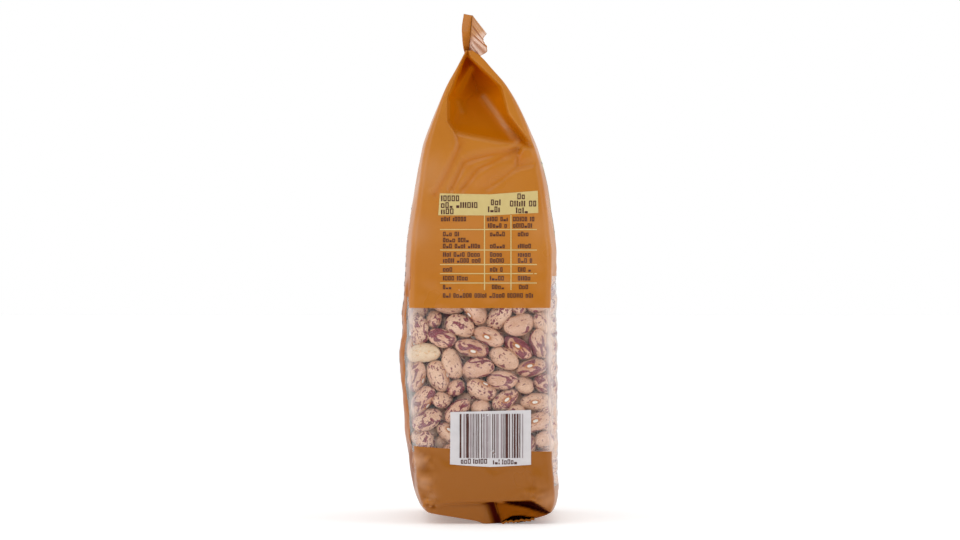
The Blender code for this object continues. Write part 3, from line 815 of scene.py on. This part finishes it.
def start_beans(draw):
    """Random places and turns in the layer behind the window, and each bean's half sizes."""
    places = []
    while len(places) < BEAN_COUNT:
        p = np.array((draw.uniform(-32, 32), draw.uniform(-43, 43), draw.uniform(HEAP_LOW, HEAP_HIGH)))
        near, right, far, left = (float(d[0]) for d in wall_depths(p[None]))
        if 4 < min(near, right, far) < SHELL_DEPTH and left > 4:
            places.append(p)
    places = np.array(places)
    depths = np.stack(wall_depths(places)[:3])
    outward = np.array(((0, -1, 0), (1, 0, 0), (0, 1, 0)), float)[depths.argmin(0)]
    angle = draw.uniform(0, 2 * math.pi, BEAN_COUNT)
    up = np.array((0.0, 0.0, 1.0))
    tangent = np.cross(up, outward)
    long_axis = tangent * np.cos(angle)[:, None] + up * np.sin(angle)[:, None]
    rolled = draw.random(BEAN_COUNT) < ROLLED_SHARE
    short_axis = np.where(rolled[:, None], -outward, np.cross(outward, long_axis))
    frames = np.stack((long_axis, short_axis, np.cross(long_axis, short_axis)), 2)
    frames = turned(draw.normal(0, BEAN_TILT, (BEAN_COUNT, 3))) @ frames
    half = np.array(BEAN_HALF) * (1 + draw.uniform(-HALF_SPREAD, HALF_SPREAD, (BEAN_COUNT, 3)))
    half *= (1 + draw.uniform(-BEAN_SPREAD, BEAN_SPREAD, BEAN_COUNT))[:, None]
    return places, frames, half


def support(frames, sub_half, direction):
    """How far each part of each bean reaches from its own middle along a direction."""
    local = np.einsum("nji,nj->ni", frames, direction)
    return np.linalg.norm(local * sub_half, axis=1)


def bean_parts(places, frames, size):
    """Middles of the three round parts of each bean, their arms from the bean's middle and half sizes."""
    arm = frames[:, :, 0][:, None] * (BEAN_SUB_AT[None, :, None] * size[:, 0][:, None, None])
    return places[:, None] + arm, arm, BEAN_SUB_HALF[None] * size[:, None]


def neighbour_push(places, frames, size, first, second):
    """Push and twist on each bean from the beans that it overlaps."""
    sub, arm, half = bean_parts(places, frames, size)
    push, twist = np.zeros_like(places), np.zeros_like(places)
    for a in range(3):
        for b in range(3):
            apart = sub[second, b] - sub[first, a]
            distance = np.maximum(np.linalg.norm(apart, axis=1), 1e-6)
            direction = apart / distance[:, None]
            overlap = support(frames[first], half[first, a], direction)
            overlap += support(frames[second], half[second, b], direction) - distance
            hit = overlap > 0
            force = direction[hit] * (0.25 * overlap[hit])[:, None]
            np.add.at(push, second[hit], force)
            np.add.at(push, first[hit], -force)
            np.add.at(twist, second[hit], np.cross(arm[second[hit], b], force))
            np.add.at(twist, first[hit], np.cross(arm[first[hit], a], -force))
    return push, twist


def wall_push(places, frames, size):
    """Push and twist on each bean that bring its furthest part back inside the film and the layer."""
    sub, arm, half = bean_parts(places, frames, size)
    count = len(places)
    inwards = np.array(((0, 1, 0), (-1, 0, 0), (0, -1, 0), (1, 0, 0)), float)
    depths = np.stack([wall_depths(sub[:, part]) for part in range(3)], 1)
    push, twist = np.zeros_like(places), np.zeros_like(places)
    rows = np.arange(count)

    def resolve(over, direction, share):
        part = over.argmax(0)
        force = direction * (share * np.maximum(over[part, rows], 0))[:, None]
        push[:] += force
        twist[:] += np.cross(arm[rows, part], force)

    for wall, direction in enumerate(inwards):
        n = np.tile(direction, (count, 1))
        over = np.stack([support(frames, half[:, k], n) + FILM_CLEARANCE - depths[wall, k] for k in range(3)])
        resolve(over, n, 1.0)
    for limit, up in ((HEAP_LOW, 1.0), (HEAP_HIGH, -1.0)):
        n = np.tile((0.0, 0.0, up), (count, 1))
        over = np.stack([support(frames, half[:, k], n) - up * (sub[:, k, 2] - limit) for k in range(3)])
        resolve(over, n, 1.0)
    closest = depths[:3, 1].argmin(0)
    n = -inwards[closest]
    over = np.stack([depths[:3, k].min(0) + support(frames, half[:, k], n) - SHELL_DEPTH for k in range(3)])
    resolve(over, n, 0.4)
    return push, twist


def moved(places, frames, push, twist, most, spin_share):
    """The beans after a push and a twist, neither of them too large."""
    length = np.linalg.norm(push, axis=1, keepdims=True)
    places = places + push * np.minimum(1.0, most / np.maximum(length, 1e-9))
    spin = twist * spin_share
    angle = np.linalg.norm(spin, axis=1, keepdims=True)
    return places, turned(spin * np.minimum(1.0, TURN_MOST / np.maximum(angle, 1e-9))) @ frames


def settle_beans(places, frames, half):
    """Grows the beans to full size while they push each other apart inside the film."""
    for step in range(SETTLE_STEPS):
        size = half * min(1.0, START_SIZE + GROWTH * step / (GROWING_SHARE * SETTLE_STEPS))
        if step % 5 == 0:
            gap = np.linalg.norm(places[:, None] - places[None], axis=2)
            first, second = np.nonzero(np.triu(gap < 2 * half.max() + 1.5, 1))
        pushes = neighbour_push(places, frames, size, first, second)
        places, frames = moved(places, frames, *pushes, PUSH_MOST, 1 / 16)
        places, frames = moved(places, frames, *wall_push(places, frames, size), WALL_MOST, 1 / 30)
    for _ in range(WALL_STEPS):
        places, frames = moved(places, frames, *wall_push(places, frames, half), WALL_MOST, 1 / 60)
    return places, frames


def bean_form(sides, rings, half, bend, taper, draw):
    """Points of one bean in its own axes, X along it and -Y at its hilum."""
    points = [(-1.0, 0.0, 0.0)]
    for ring in range(1, rings):
        a = math.pi * ring / rings
        for side in range(sides):
            b = 2 * math.pi * side / sides
            points.append((-math.cos(a), math.sin(a) * math.cos(b), math.sin(a) * math.sin(b)))
    points.append((1.0, 0.0, 0.0))
    p = np.array(points)
    fullness = 1 + 0.10 * (p[:, 1] ** 2 + p[:, 2] ** 2) * (p[:, 0] ** 2)
    p[:, 1:] *= (1 + taper * p[:, 0])[:, None] * fullness[:, None]
    dent = bell(p[:, 0], 0, 0.42) * bell(p[:, 2], 0, 0.6) * (p[:, 1] < 0)
    p[:, 1] += bend * (1 - p[:, 0] ** 2 * 2.0) * 0.5 + 0.10 * dent
    wave = draw.uniform(-1, 1, 3)
    p *= (1 + 0.018 * np.sin(4 * p @ wave + 5 * wave[0]))[:, None]
    return p * half


def bean_faces(sides, rings):
    """Faces of a bean's grid of points."""
    last = 1 + (rings - 1) * sides
    faces = []
    for s in range(sides):
        n = (s + 1) % sides
        faces.append((0, 1 + n, 1 + s))
        faces.append((last, last - sides + s, last - sides + n))
        for r in range(rings - 2):
            low, high = 1 + r * sides, 1 + (r + 1) * sides
            faces.append((low + s, low + n, high + n, high + s))
    return faces


def beans_piece(name, chosen, heap, surface, draw):
    """One piece with all beans of a kind, and each point's place on its bean."""
    places, frames, half, near_film = heap
    points, faces, local, own, chance = [], [], [], [], []
    for i in chosen:
        sides, rings = (28, 18) if near_film[i] else (14, 9)
        form = bean_form(sides, rings, half[i], draw.uniform(0.0, 0.16), draw.uniform(-0.10, 0.10), draw)
        start = sum(len(p) for p in points)
        points.append(form @ frames[i].T + places[i])
        local.append(form)
        own.append(form + draw.uniform(0, 400, 3))
        chance.append(np.full(len(form), draw.random()))
        faces += [tuple(start + k for k in face) for face in bean_faces(sides, rings)]
    piece = mesh_piece(name, np.concatenate(points), faces, surface, "dried_beans", "beans")
    for key, values in (("bean_local", local), ("bean_place", own), ("bean_chance", chance)):
        tag(piece, key, np.concatenate(values))
    return piece


def window_beans():
    """The settled beans that lie behind the window, and whether each lies against the film."""
    draw = np.random.default_rng(SEED)
    places, frames, half = start_beans(draw)
    places, frames = settle_beans(places, frames, half)
    near, right, far, _ = wall_depths(places)
    z = places[:, 2]
    on_wide = (right < SHELL_DEPTH) & (z > WIDE_WINDOW[0] - 8) & (z < WIDE_WINDOW[1] + 8)
    ends = np.minimum(near, far)
    on_gusset = (ends < SHELL_DEPTH) & (z > GUSSET_WINDOW[0] - 9) & (z < GUSSET_WINDOW[1] + 9)
    over_tuck = (z < TUCK_CLEAR_Z) & (ends < TUCK_CLEAR_Y)
    keep = (on_wide | on_gusset) & ~over_tuck
    near_film = np.minimum(np.minimum(near, right), far) < NEAR_FILM
    return places[keep], frames[keep], half[keep], near_film[keep], draw


def make_beans():
    """The beans in three kinds."""
    *heap, draw = window_beans()
    places = heap[0]
    kind = draw.random(len(places))
    pale = (kind > PALE_ABOVE) & (places[:, 1] > -28)
    away = np.hypot(places[:, 0] - PALE_BEAN[0], places[:, 2] - PALE_BEAN[1])
    pale[np.where(places[:, 1] < -38.5, away, 99.0).argmin()] = True
    marked = (kind < STREAKED_BELOW) & ~pale
    maroon = (0.165, 0.028, 0.040)
    looks = (
        ("beans_streaked", marked, (0.74, 0.47, 0.33), (0.62, 0.34, 0.22), maroon, 0.545, True),
        ("beans_speckled", ~marked & ~pale, (0.78, 0.52, 0.36), (0.65, 0.38, 0.25), maroon, 0.585, False),
        ("beans_pale", pale, (0.80, 0.62, 0.43), (0.74, 0.54, 0.35), (0.5, 0.3, 0.15), 0.80, False),
    )
    return [
        beans_piece(name, np.nonzero(which)[0], heap, bean_material(name, *look), draw)
        for name, which, *look in looks
    ]


def make_shade_core():
    """A dark plain core behind the beans: painted shade that stands for the shadow inside the heap."""
    m = Nodes("bean_shade_core")
    m.feed(base_color=m.mottled(90.0, 2.0, (0.10, 0.055, 0.035), (0.16, 0.09, 0.06)))
    m.shader.inputs["Roughness"].default_value = 0.8
    points, reach = [], CORNER_Y - CORE_INSET - CORE_ROUND
    for z in np.linspace(HEAP_LOW + 1, HEAP_HIGH - 1, CORE_RINGS):
        left, right, _, _ = corner_lines(z)
        low, high = left + CORE_LEFT, right - CORE_INSET - CORE_ROUND
        for x, y, start in ((low, -reach, 180), (high, -reach, 270), (high, reach, 0), (low, reach, 90)):
            for step in range(5):
                a = math.radians(start + step * 22.5)
                points.append((x + CORE_ROUND * math.cos(a), y + CORE_ROUND * math.sin(a), z))
    count = len(points) // CORE_RINGS
    faces = quads(CORE_RINGS, count, True) + caps(CORE_RINGS, count)
    return mesh_piece("bean_shade_core", points, faces, m.material, "dried_beans", "beans")
# Seals

FIN_ROOT_Z = 210.0
FIN_X_ROOT, FIN_X_TOP = -5.3, -3.6
FIN_DIP = 0.4
FIN_SPREAD = 0.22
FIN_JOIN_Y = 42.3
FIN_FAR_GAPE = 2.5
FIN_TUCK = ((0.0, 7.5), (0.15, 6.0), (0.30, 3.4), (0.42, 2.6), (0.60, 0.0))
FIN_THICKNESS = 0.4
LEFT_LEAF_X = ((0.0, -5.9), (0.3, -7.6), (0.65, -8.1), (1.0, -7.2))
RIGHT_LEAF_X = ((0.0, -2.2), (0.30, -0.5), (0.42, 0.3), (0.50, 3.2), (0.78, 1.2), (0.82, 1.4), (1.0, 3.0))
RIGHT_LEAF_Z = (
    (0.0, 210.2), (0.30, 210.8), (0.42, 211.4), (0.50, 213.4), (0.78, 218.6), (0.82, 219.0), (1.0, 221.1),
)
RIGHT_LEAF_LEAN = 1.0
FOLD_SEAL_X, FOLD_SEAL_Y, FOLD_SEAL_Z = (9.8, 24.6), 41.0, (0.75, 2.1)
# The bottom seal's thickness and its painted shade, as it lies under the pack
FOLD_SEAL_THICKNESS, FOLD_SEAL_SHADE = 0.9, 0.45
GROOVES = (
    (0.26, 0.022, 0.6), (0.36, 0.022, 0.7), (0.47, 0.026, 0.8), (0.59, 0.032, 1.0), (0.68, 0.018, 0.4),
    (0.77, 0.034, 1.0), (0.87, 0.020, 0.35), (0.96, 0.014, 0.6),
)
GROOVE_DEPTH = 0.5
RIB_PITCH = 2.4
TOOTH_DEPTH = 0.45


def leaf_point(side, y, height):
    """A point in the middle of one leaf of the top seal."""
    x = FIN_X_ROOT + (FIN_X_TOP - FIN_X_ROOT) * height + side * FIN_SPREAD
    z = FIN_ROOT_Z + (PACK_TOP - FIN_DIP - FIN_ROOT_Z) * height
    near, far = (max(0.0, (end * y - FIN_JOIN_Y) / (SEAL_Y - FIN_JOIN_Y)) for end in (-1, 1))
    if side < 0:
        edge = (along(LEFT_LEAF_X, height), 0.0, FIN_ROOT_Z + (PACK_TOP - FIN_ROOT_Z) * height)
    else:
        edge = (along(RIGHT_LEAF_X, height), -RIGHT_LEAF_LEAN * height, along(RIGHT_LEAF_Z, height))
    x += near * (edge[0] - x) + far * side * FIN_FAR_GAPE * height
    y *= 1 - straight(FIN_TUCK, height) / SEAL_Y
    return x, y + near * edge[1], z + near * (edge[2] - z)


def slab_piece(name, middle, thickness, rib, surface, rib_sheen=None):
    """A thin closed slab round a grid of points, with ribs pressed into both its faces."""
    middle = np.array(middle)
    normal = np.cross(np.gradient(middle, axis=0), np.gradient(middle, axis=1))
    normal /= np.maximum(np.linalg.norm(normal, axis=2, keepdims=True), 1e-9)
    rows, cols = middle.shape[:2]
    ribs = [[rib(r / (rows - 1), c / (cols - 1)) for c in range(cols)] for r in range(rows)]
    wave = np.array(ribs)[..., None]
    points = np.concatenate([
        (middle + normal * (thickness / 2 + wave)).reshape(-1, 3),
        (middle - normal * (thickness / 2 - wave)).reshape(-1, 3),
    ])
    shift, faces = rows * cols, []
    for a, b, c, d in quads(rows, cols):
        faces += [(a, d, c, b), (a + shift, b + shift, c + shift, d + shift)]
    for r in range(rows - 1):
        a, b = r * cols, (r + 1) * cols
        faces.append((a, a + shift, b + shift, b))
        a, b = a + cols - 1, b + cols - 1
        faces.append((a, b, b + shift, a + shift))
    for c in range(cols - 1):
        faces.append((c, c + 1, c + 1 + shift, c + shift))
        a = (rows - 1) * cols + c
        faces.append((a, a + shift, a + 1 + shift, a + 1))
    piece = mesh_piece(name, points, faces, surface, "printed_film", "bag")
    # The inner faces take the material with painted sheen on the ribs and painted shade in their grooves
    if rib_sheen:
        piece.data.materials.append(rib_sheen)
        for k in range(1, 2 * (rows - 1) * (cols - 1), 2):
            piece.data.polygons[k].material_index = 1
        flat = wave.ravel()
        level = 1 - (flat - flat.min()) / max(flat.max() - flat.min(), 1e-9)
        tag(piece, "rib", np.tile(level, 2))
    return piece


def make_seals(surface, rib_sheen):
    """The two leaves of the top seal and the folded bottom seal."""
    ys = np.concatenate((np.linspace(-SEAL_Y, -40.0, 31), np.linspace(-40.0, SEAL_Y, 141)[1:]))
    heights = np.linspace(0.0, 1.0, 71)
    for side, name in ((-1, "seal_leaf_left"), (1, "seal_leaf_right")):

        def rib(r, c, side=side):
            y = ys[round(r * (len(ys) - 1))]
            joined = reached(y, 9.0 - SEAL_Y, 9.0)
            if side > 0:
                joined = max(joined, reached(y, -FIN_JOIN_Y, -0.7))
            groove = sum(depth * bell(c, at, width) for at, width, depth in GROOVES)
            return -side * joined * GROOVE_DEPTH * (0.25 - groove)

        middle = [[leaf_point(side, y, h) for h in heights] for y in ys]
        slab_piece(name, middle, FIN_THICKNESS, rib, surface, rib_sheen if side > 0 else None)
    xs, ys = np.linspace(*FOLD_SEAL_X, 41), np.linspace(-FOLD_SEAL_Y, FOLD_SEAL_Y, 121)
    middle = [[(x, y, np.interp(x, FOLD_SEAL_X, FOLD_SEAL_Z)) for x in xs] for y in ys]

    def tooth(r, c):
        turn = 2 * math.pi * c * (FOLD_SEAL_X[1] - FOLD_SEAL_X[0]) / RIB_PITCH
        uneven = 0.35 * math.sin(0.43 * turn + 1.0) + 0.25 * math.sin(1.9 * turn)
        return TOOTH_DEPTH * (0.5 * math.sin(turn) + uneven)

    base = slab_piece("seal_base", middle, FOLD_SEAL_THICKNESS, tooth, surface)
    # Painted shade on the bottom seal under the pack
    tag(base, "painted_shade", np.full(len(base.data.vertices), FOLD_SEAL_SHADE))
# Print

BAR_WIDTH = 0.42
FIELD_LIFT, MARK_LIFT = 0.08, 0.16
CAST_FROM = 80.0


class Decals:
    """Flat shapes laid onto one side of the film, given in its own plane."""

    def __init__(self, tree, side, lift):
        ways = {"near": (0, 1, 0), "far": (0, -1, 0), "right": (-1, 0, 0), "left": (1, 0, 0)}
        self.tree, self.way, self.lift = tree, Vector(ways[side]), lift
        self.points, self.faces = [], []

    def cast(self, u, z):
        """The point at (u, z) just off the film, or None where there is no film."""
        start = Vector((abs(self.way.y) * u, abs(self.way.x) * u, z)) - CAST_FROM * self.way
        place, normal, _, _ = self.tree.ray_cast(start, self.way)
        if place is None:
            return None
        return place - normal * math.copysign(self.lift, normal.dot(self.way))

    def quad(self, corners, step=1.0):
        """A four-cornered shape (u, z), corners in order, as a fine grid on the film."""
        a, b, c, d = (np.array(k, float) for k in corners)
        wide = max(1, round(max(np.linalg.norm(b - a), np.linalg.norm(c - d)) / step))
        tall = max(1, round(max(np.linalg.norm(d - a), np.linalg.norm(c - b)) / step))
        made = []
        for t in (j / tall for j in range(tall + 1)):
            for s in (i / wide for i in range(wide + 1)):
                made.append(self.cast(*((a * (1 - s) + b * s) * (1 - t) + (d * (1 - s) + c * s) * t)))
        if any(p is None for p in made):
            return
        start = len(self.points)
        self.points += made
        self.faces += [tuple(start + k for k in face) for face in quads(tall + 1, wide + 1)]

    def rect(self, u0, u1, z0, z1, step=1.0):
        """An upright rectangle."""
        self.quad(((u0, z0), (u1, z0), (u1, z1), (u0, z1)), step)

    def piece(self, name, surface):
        """The shapes as one piece."""
        points = np.array([tuple(p) for p in self.points])
        return mesh_piece(name, points, self.faces, surface, "print_ink", "bag")


def px(x):
    """X in millimetres from a column of the frame."""
    return (x - 480) * PIXEL


def pz(y):
    """Z in millimetres from a row of the frame."""
    return (525 - y) * PIXEL


def word_row(decals, u0, u1, z, tall, draw, gap=0.5):
    """A row of small marks that stands for a line of text and spells nothing."""
    u, low, stroke = u0, z - tall / 2, 0.17 * tall
    while u < u1 - 0.4:
        for _ in range(int(draw.integers(3, 8))):
            wide = draw.uniform(0.48, 0.60) * tall
            if u + wide > u1:
                break
            height = tall * draw.choice((1.0, 1.0, 0.8))
            kind = draw.random()
            if kind < 0.6:
                inner, end, top = u + stroke, u + wide, low + height
                shapes = [(u, inner, low, top), (end - stroke, end, low, top)]
                for part in ((low, low + stroke), (top - stroke, top)):
                    shapes.append((inner, end - stroke, *part))
            elif kind < 0.85:
                wide = 1.4 * stroke
                shapes = [(u, u + wide, low, low + height)]
            else:
                shapes = [(u, u + wide, low, low + 0.45 * height)]
            for shape in shapes:
                decals.rect(*shape, 2.0)
            u += wide + 0.17 * tall
        u += gap * tall


def table_print(tree, inks, side, mirror):
    """The table's band, lines and rows of marks on one gusset, from columns and rows of the frame."""
    yellow, dark = inks
    draw = np.random.default_rng(3)

    def span(x0, x1):
        return sorted((mirror * px(x0), mirror * px(x1)))

    field = Decals(tree, side, FIELD_LIFT)
    for band in (
        ((438.2, 215.2), (490, 215.4), (490, 194.3), (439.8, 193.3)),
        ((490, 215.4), (538.4, 212.8), (537.8, 190.6), (490, 194.3)),
    ):
        field.quad([(mirror * px(x), pz(y)) for x, y in band])
    for x in (484.5, 511):
        field.rect(*span(x - 0.5, x + 0.5), pz(290), pz(215))
    for y in (229.5, 250, 264.5, 273.6, 283):
        field.rect(*span(440, 537), pz(y + 0.45), pz(y - 0.45))
    field.piece(f"print_table_{side}", yellow)
    marks = Decals(tree, side, MARK_LIFT)
    for x0, x1, y in (
        (441, 462, 198.3), (441, 481.5, 205.0), (441, 456, 211.3), (491, 503, 202.3), (488, 505.5, 209.3),
        (517.5, 528.5, 196.3), (510, 537, 203.5), (516, 531, 210.3), (441, 466, 219.0), (487, 509, 219.0),
        (513, 537, 219.0), (488, 509, 225.5), (513, 536, 225.5), (443, 461, 234.0), (490, 506, 234.0),
        (518, 533, 234.0), (443, 472, 240.0), (443, 482, 246.0), (490, 506, 246.0), (518, 533, 246.0),
        (443, 483, 254.5), (490, 506, 254.5), (518, 533, 254.5), (443, 482, 260.5), (490, 506, 260.5),
        (518, 533, 260.5), (443, 456, 269.5), (490, 505, 269.5), (518, 533, 269.5), (443, 468, 278.2),
        (490, 506, 278.2), (518, 532, 278.2), (443, 456, 287.0), (492, 505, 287.0), (519, 531, 287.0),
        (443, 535, 295.5),
    ):
        word_row(marks, *span(x0, x1), pz(y), 2.6 if y < 214 else 2.0, draw)
    marks.piece(f"print_rows_{side}", dark)


def label_print(tree, inks):
    """The white label with plain bars and a row of small marks."""
    white, dark, grey = inks
    draw = np.random.default_rng(5)
    label = Decals(tree, "near", 0.15)
    for part in (
        ((450, 464.5), (490, 467), (490, 411), (450.5, 412)),
        ((490, 467), (531, 465), (531, 410), (490, 411)),
    ):
        label.quad([(px(x), pz(y)) for x, y in part])
    label.piece("label_white", white)
    bars, pale_bars = Decals(tree, "near", 0.25), Decals(tree, "near", 0.25)
    u, end = px(459.6), px(523.5)
    while u < end - 0.3:
        wide = BAR_WIDTH * draw.choice((1, 1, 2, 2, 3))
        kind = pale_bars if draw.random() < 0.3 else bars
        kind.rect(u, min(u + wide, end), pz(458), pz(413.8), 1.2)
        u += wide + BAR_WIDTH * draw.choice((1, 1, 1, 2))
    for x0, x1, y, gap in ((453, 455.5, 461, 0.5), (461, 489, 461.2, 0.3), (493, 520, 461.8, 0.3)):
        word_row(bars, px(x0), px(x1), pz(y), 2.2, draw, gap)
    bars.piece("label_bars", dark)
    pale_bars.piece("label_bars_grey", grey)


def wide_print(tree, inks):
    """A plain pale panel with a thin frame over the large window, and rows of marks on the other side."""
    yellow, dark = inks
    draw = np.random.default_rng(7)
    panel = Decals(tree, "right", FIELD_LIFT)
    panel.rect(-29, 29, 130, 166, 1.5)
    panel.piece("print_panel", yellow)
    lines = Decals(tree, "right", MARK_LIFT)
    for u in (-27, 26.5):
        lines.rect(u, u + 0.5, 132, 164, 1.5)
    for z in (132, 163.5):
        lines.rect(-27, 27, z, z + 0.5, 1.5)
    lines.piece("print_frame", dark)
    marks = Decals(tree, "left", 0.12)
    for z in np.arange(60, 148, 4.4):
        word_row(marks, -24, 24 - draw.uniform(0, 14), z, 2.0, draw)
    marks.piece("print_rows_left", dark)


# Build

film = film_material()
clear = clear_material()
yellow_ink = ink_material("ink_yellow", (0.63, 0.49, 0.20), (0.60, 0.46, 0.18), 0.33)
dark_ink = ink_material("ink_dark", (0.075, 0.016, 0.010), (0.060, 0.012, 0.008), 0.35)
white_ink = ink_material("ink_white", (0.67, 0.64, 0.65), (0.63, 0.60, 0.61), 0.32)
grey_ink = ink_material("ink_grey", (0.34, 0.28, 0.29), (0.30, 0.24, 0.25), 0.32)

beans = make_beans()
make_shade_core()
grid, levels, near_count = film_grid()
grid = draped(wrinkled(smoothed(grid)), levels, beans)
flat = grid.reshape(-1, 3)
printed_faces, clear_faces = film_faces(grid, levels, near_count)
film_piece("film_printed", flat, printed_faces, film, "printed_film", painted_light(grid))
rim = {"rim": np.exp(-corner_distance(grid) / RIM_HAZE)}
film_piece("film_clear", flat, clear_faces, clear, "clear_film", rim)
make_seals(film, rib_sheen_material())
film_tree = BVHTree.FromPolygons([tuple(p) for p in flat], printed_faces[:-2] + clear_faces)
table_print(film_tree, (yellow_ink, dark_ink), "near", 1)
label_print(film_tree, (white_ink, dark_ink, grey_ink))
table_print(film_tree, (yellow_ink, dark_ink), "far", -1)
wide_print(film_tree, (yellow_ink, dark_ink))
# Camera, light and floor

CAMERA_DISTANCE = 1300.0
FRAME_WIDTH = 432.0

camera = bpy.data.objects.new("camera", bpy.data.cameras.new("camera"))
camera.data.sensor_width = 36.0
camera.data.lens = 36.0 * CAMERA_DISTANCE / FRAME_WIDTH
camera.data.clip_start, camera.data.clip_end = 0.05, 20.0
camera.location = (BASE_SHIFT[0] * MM, -(CAMERA_DISTANCE + SEAL_Y) * MM, pz(270) * MM)
camera.rotation_euler = (math.pi / 2, 0, 0)
bpy.context.collection.objects.link(camera)
bpy.context.scene.camera = camera


def area_light(name, place, target, size, power):
    """A soft rectangular light that points at a target."""
    lamp = bpy.data.lights.new(name, "AREA")
    lamp.shape = "RECTANGLE"
    lamp.size, lamp.size_y = size
    lamp.energy = power
    obj = bpy.data.objects.new(name, lamp)
    obj.location = place
    obj.rotation_euler = (Vector(target) - Vector(place)).to_track_quat("-Z", "Y").to_euler()
    bpy.context.collection.objects.link(obj)


area_light("light_left", (-0.9, -0.5, 0.45), (0, 0, 0.14), (0.4, 0.8), 2.0)
area_light("light_right", (0.9, -0.45, 0.45), (0, 0, 0.14), (0.4, 0.8), 1.8)
area_light("light_top", (-0.12, -0.55, 0.66), (0, 0, 0.15), (0.5, 0.3), 0.9)


def make_world():
    """A white studio that is darker on the camera's side."""
    world = bpy.data.worlds.new("studio")
    bpy.context.scene.world = world
    world.use_nodes = True
    tree = world.node_tree
    way = tree.nodes.new("ShaderNodeTexCoord")
    split = tree.nodes.new("ShaderNodeSeparateXYZ")
    shade = tree.nodes.new("ShaderNodeMapRange")
    shade.interpolation_type = "SMOOTHSTEP"
    tree.links.new(way.outputs["Generated"], split.inputs[0])
    tree.links.new(split.outputs["Y"], shade.inputs["Value"])
    for key, value in (("From Min", -0.95), ("From Max", 0.1), ("To Min", 0.32), ("To Max", 1.0)):
        shade.inputs[key].default_value = value
    background = tree.nodes["Background"]
    background.inputs["Color"].default_value = (1.0, 1.0, 1.0, 1.0)
    tree.links.new(shade.outputs[0], background.inputs["Strength"])


make_world()
bpy.context.scene.view_settings.view_transform = "Standard"

floor_look = Nodes("floor")
floor_look.feed(base_color=floor_look.mottled(3.0, 2.0, (0.90, 0.90, 0.90), (0.93, 0.93, 0.93)))
floor_look.shader.inputs["Roughness"].default_value = 0.7
floor_look.shader.inputs["Emission Color"].default_value = (1.0, 1.0, 1.0, 1.0)
floor_look.shader.inputs["Emission Strength"].default_value = 0.23
floor_mesh = bpy.data.meshes.new("floor")
floor_mesh.from_pydata([(-6, -6, 0), (6, -6, 0), (6, 6, 0), (-6, 6, 0)], [], [(0, 1, 2, 3)])
floor_mesh.materials.append(floor_look.material)
floor = bpy.data.objects.new("floor", floor_mesh)
bpy.context.collection.objects.link(floor)
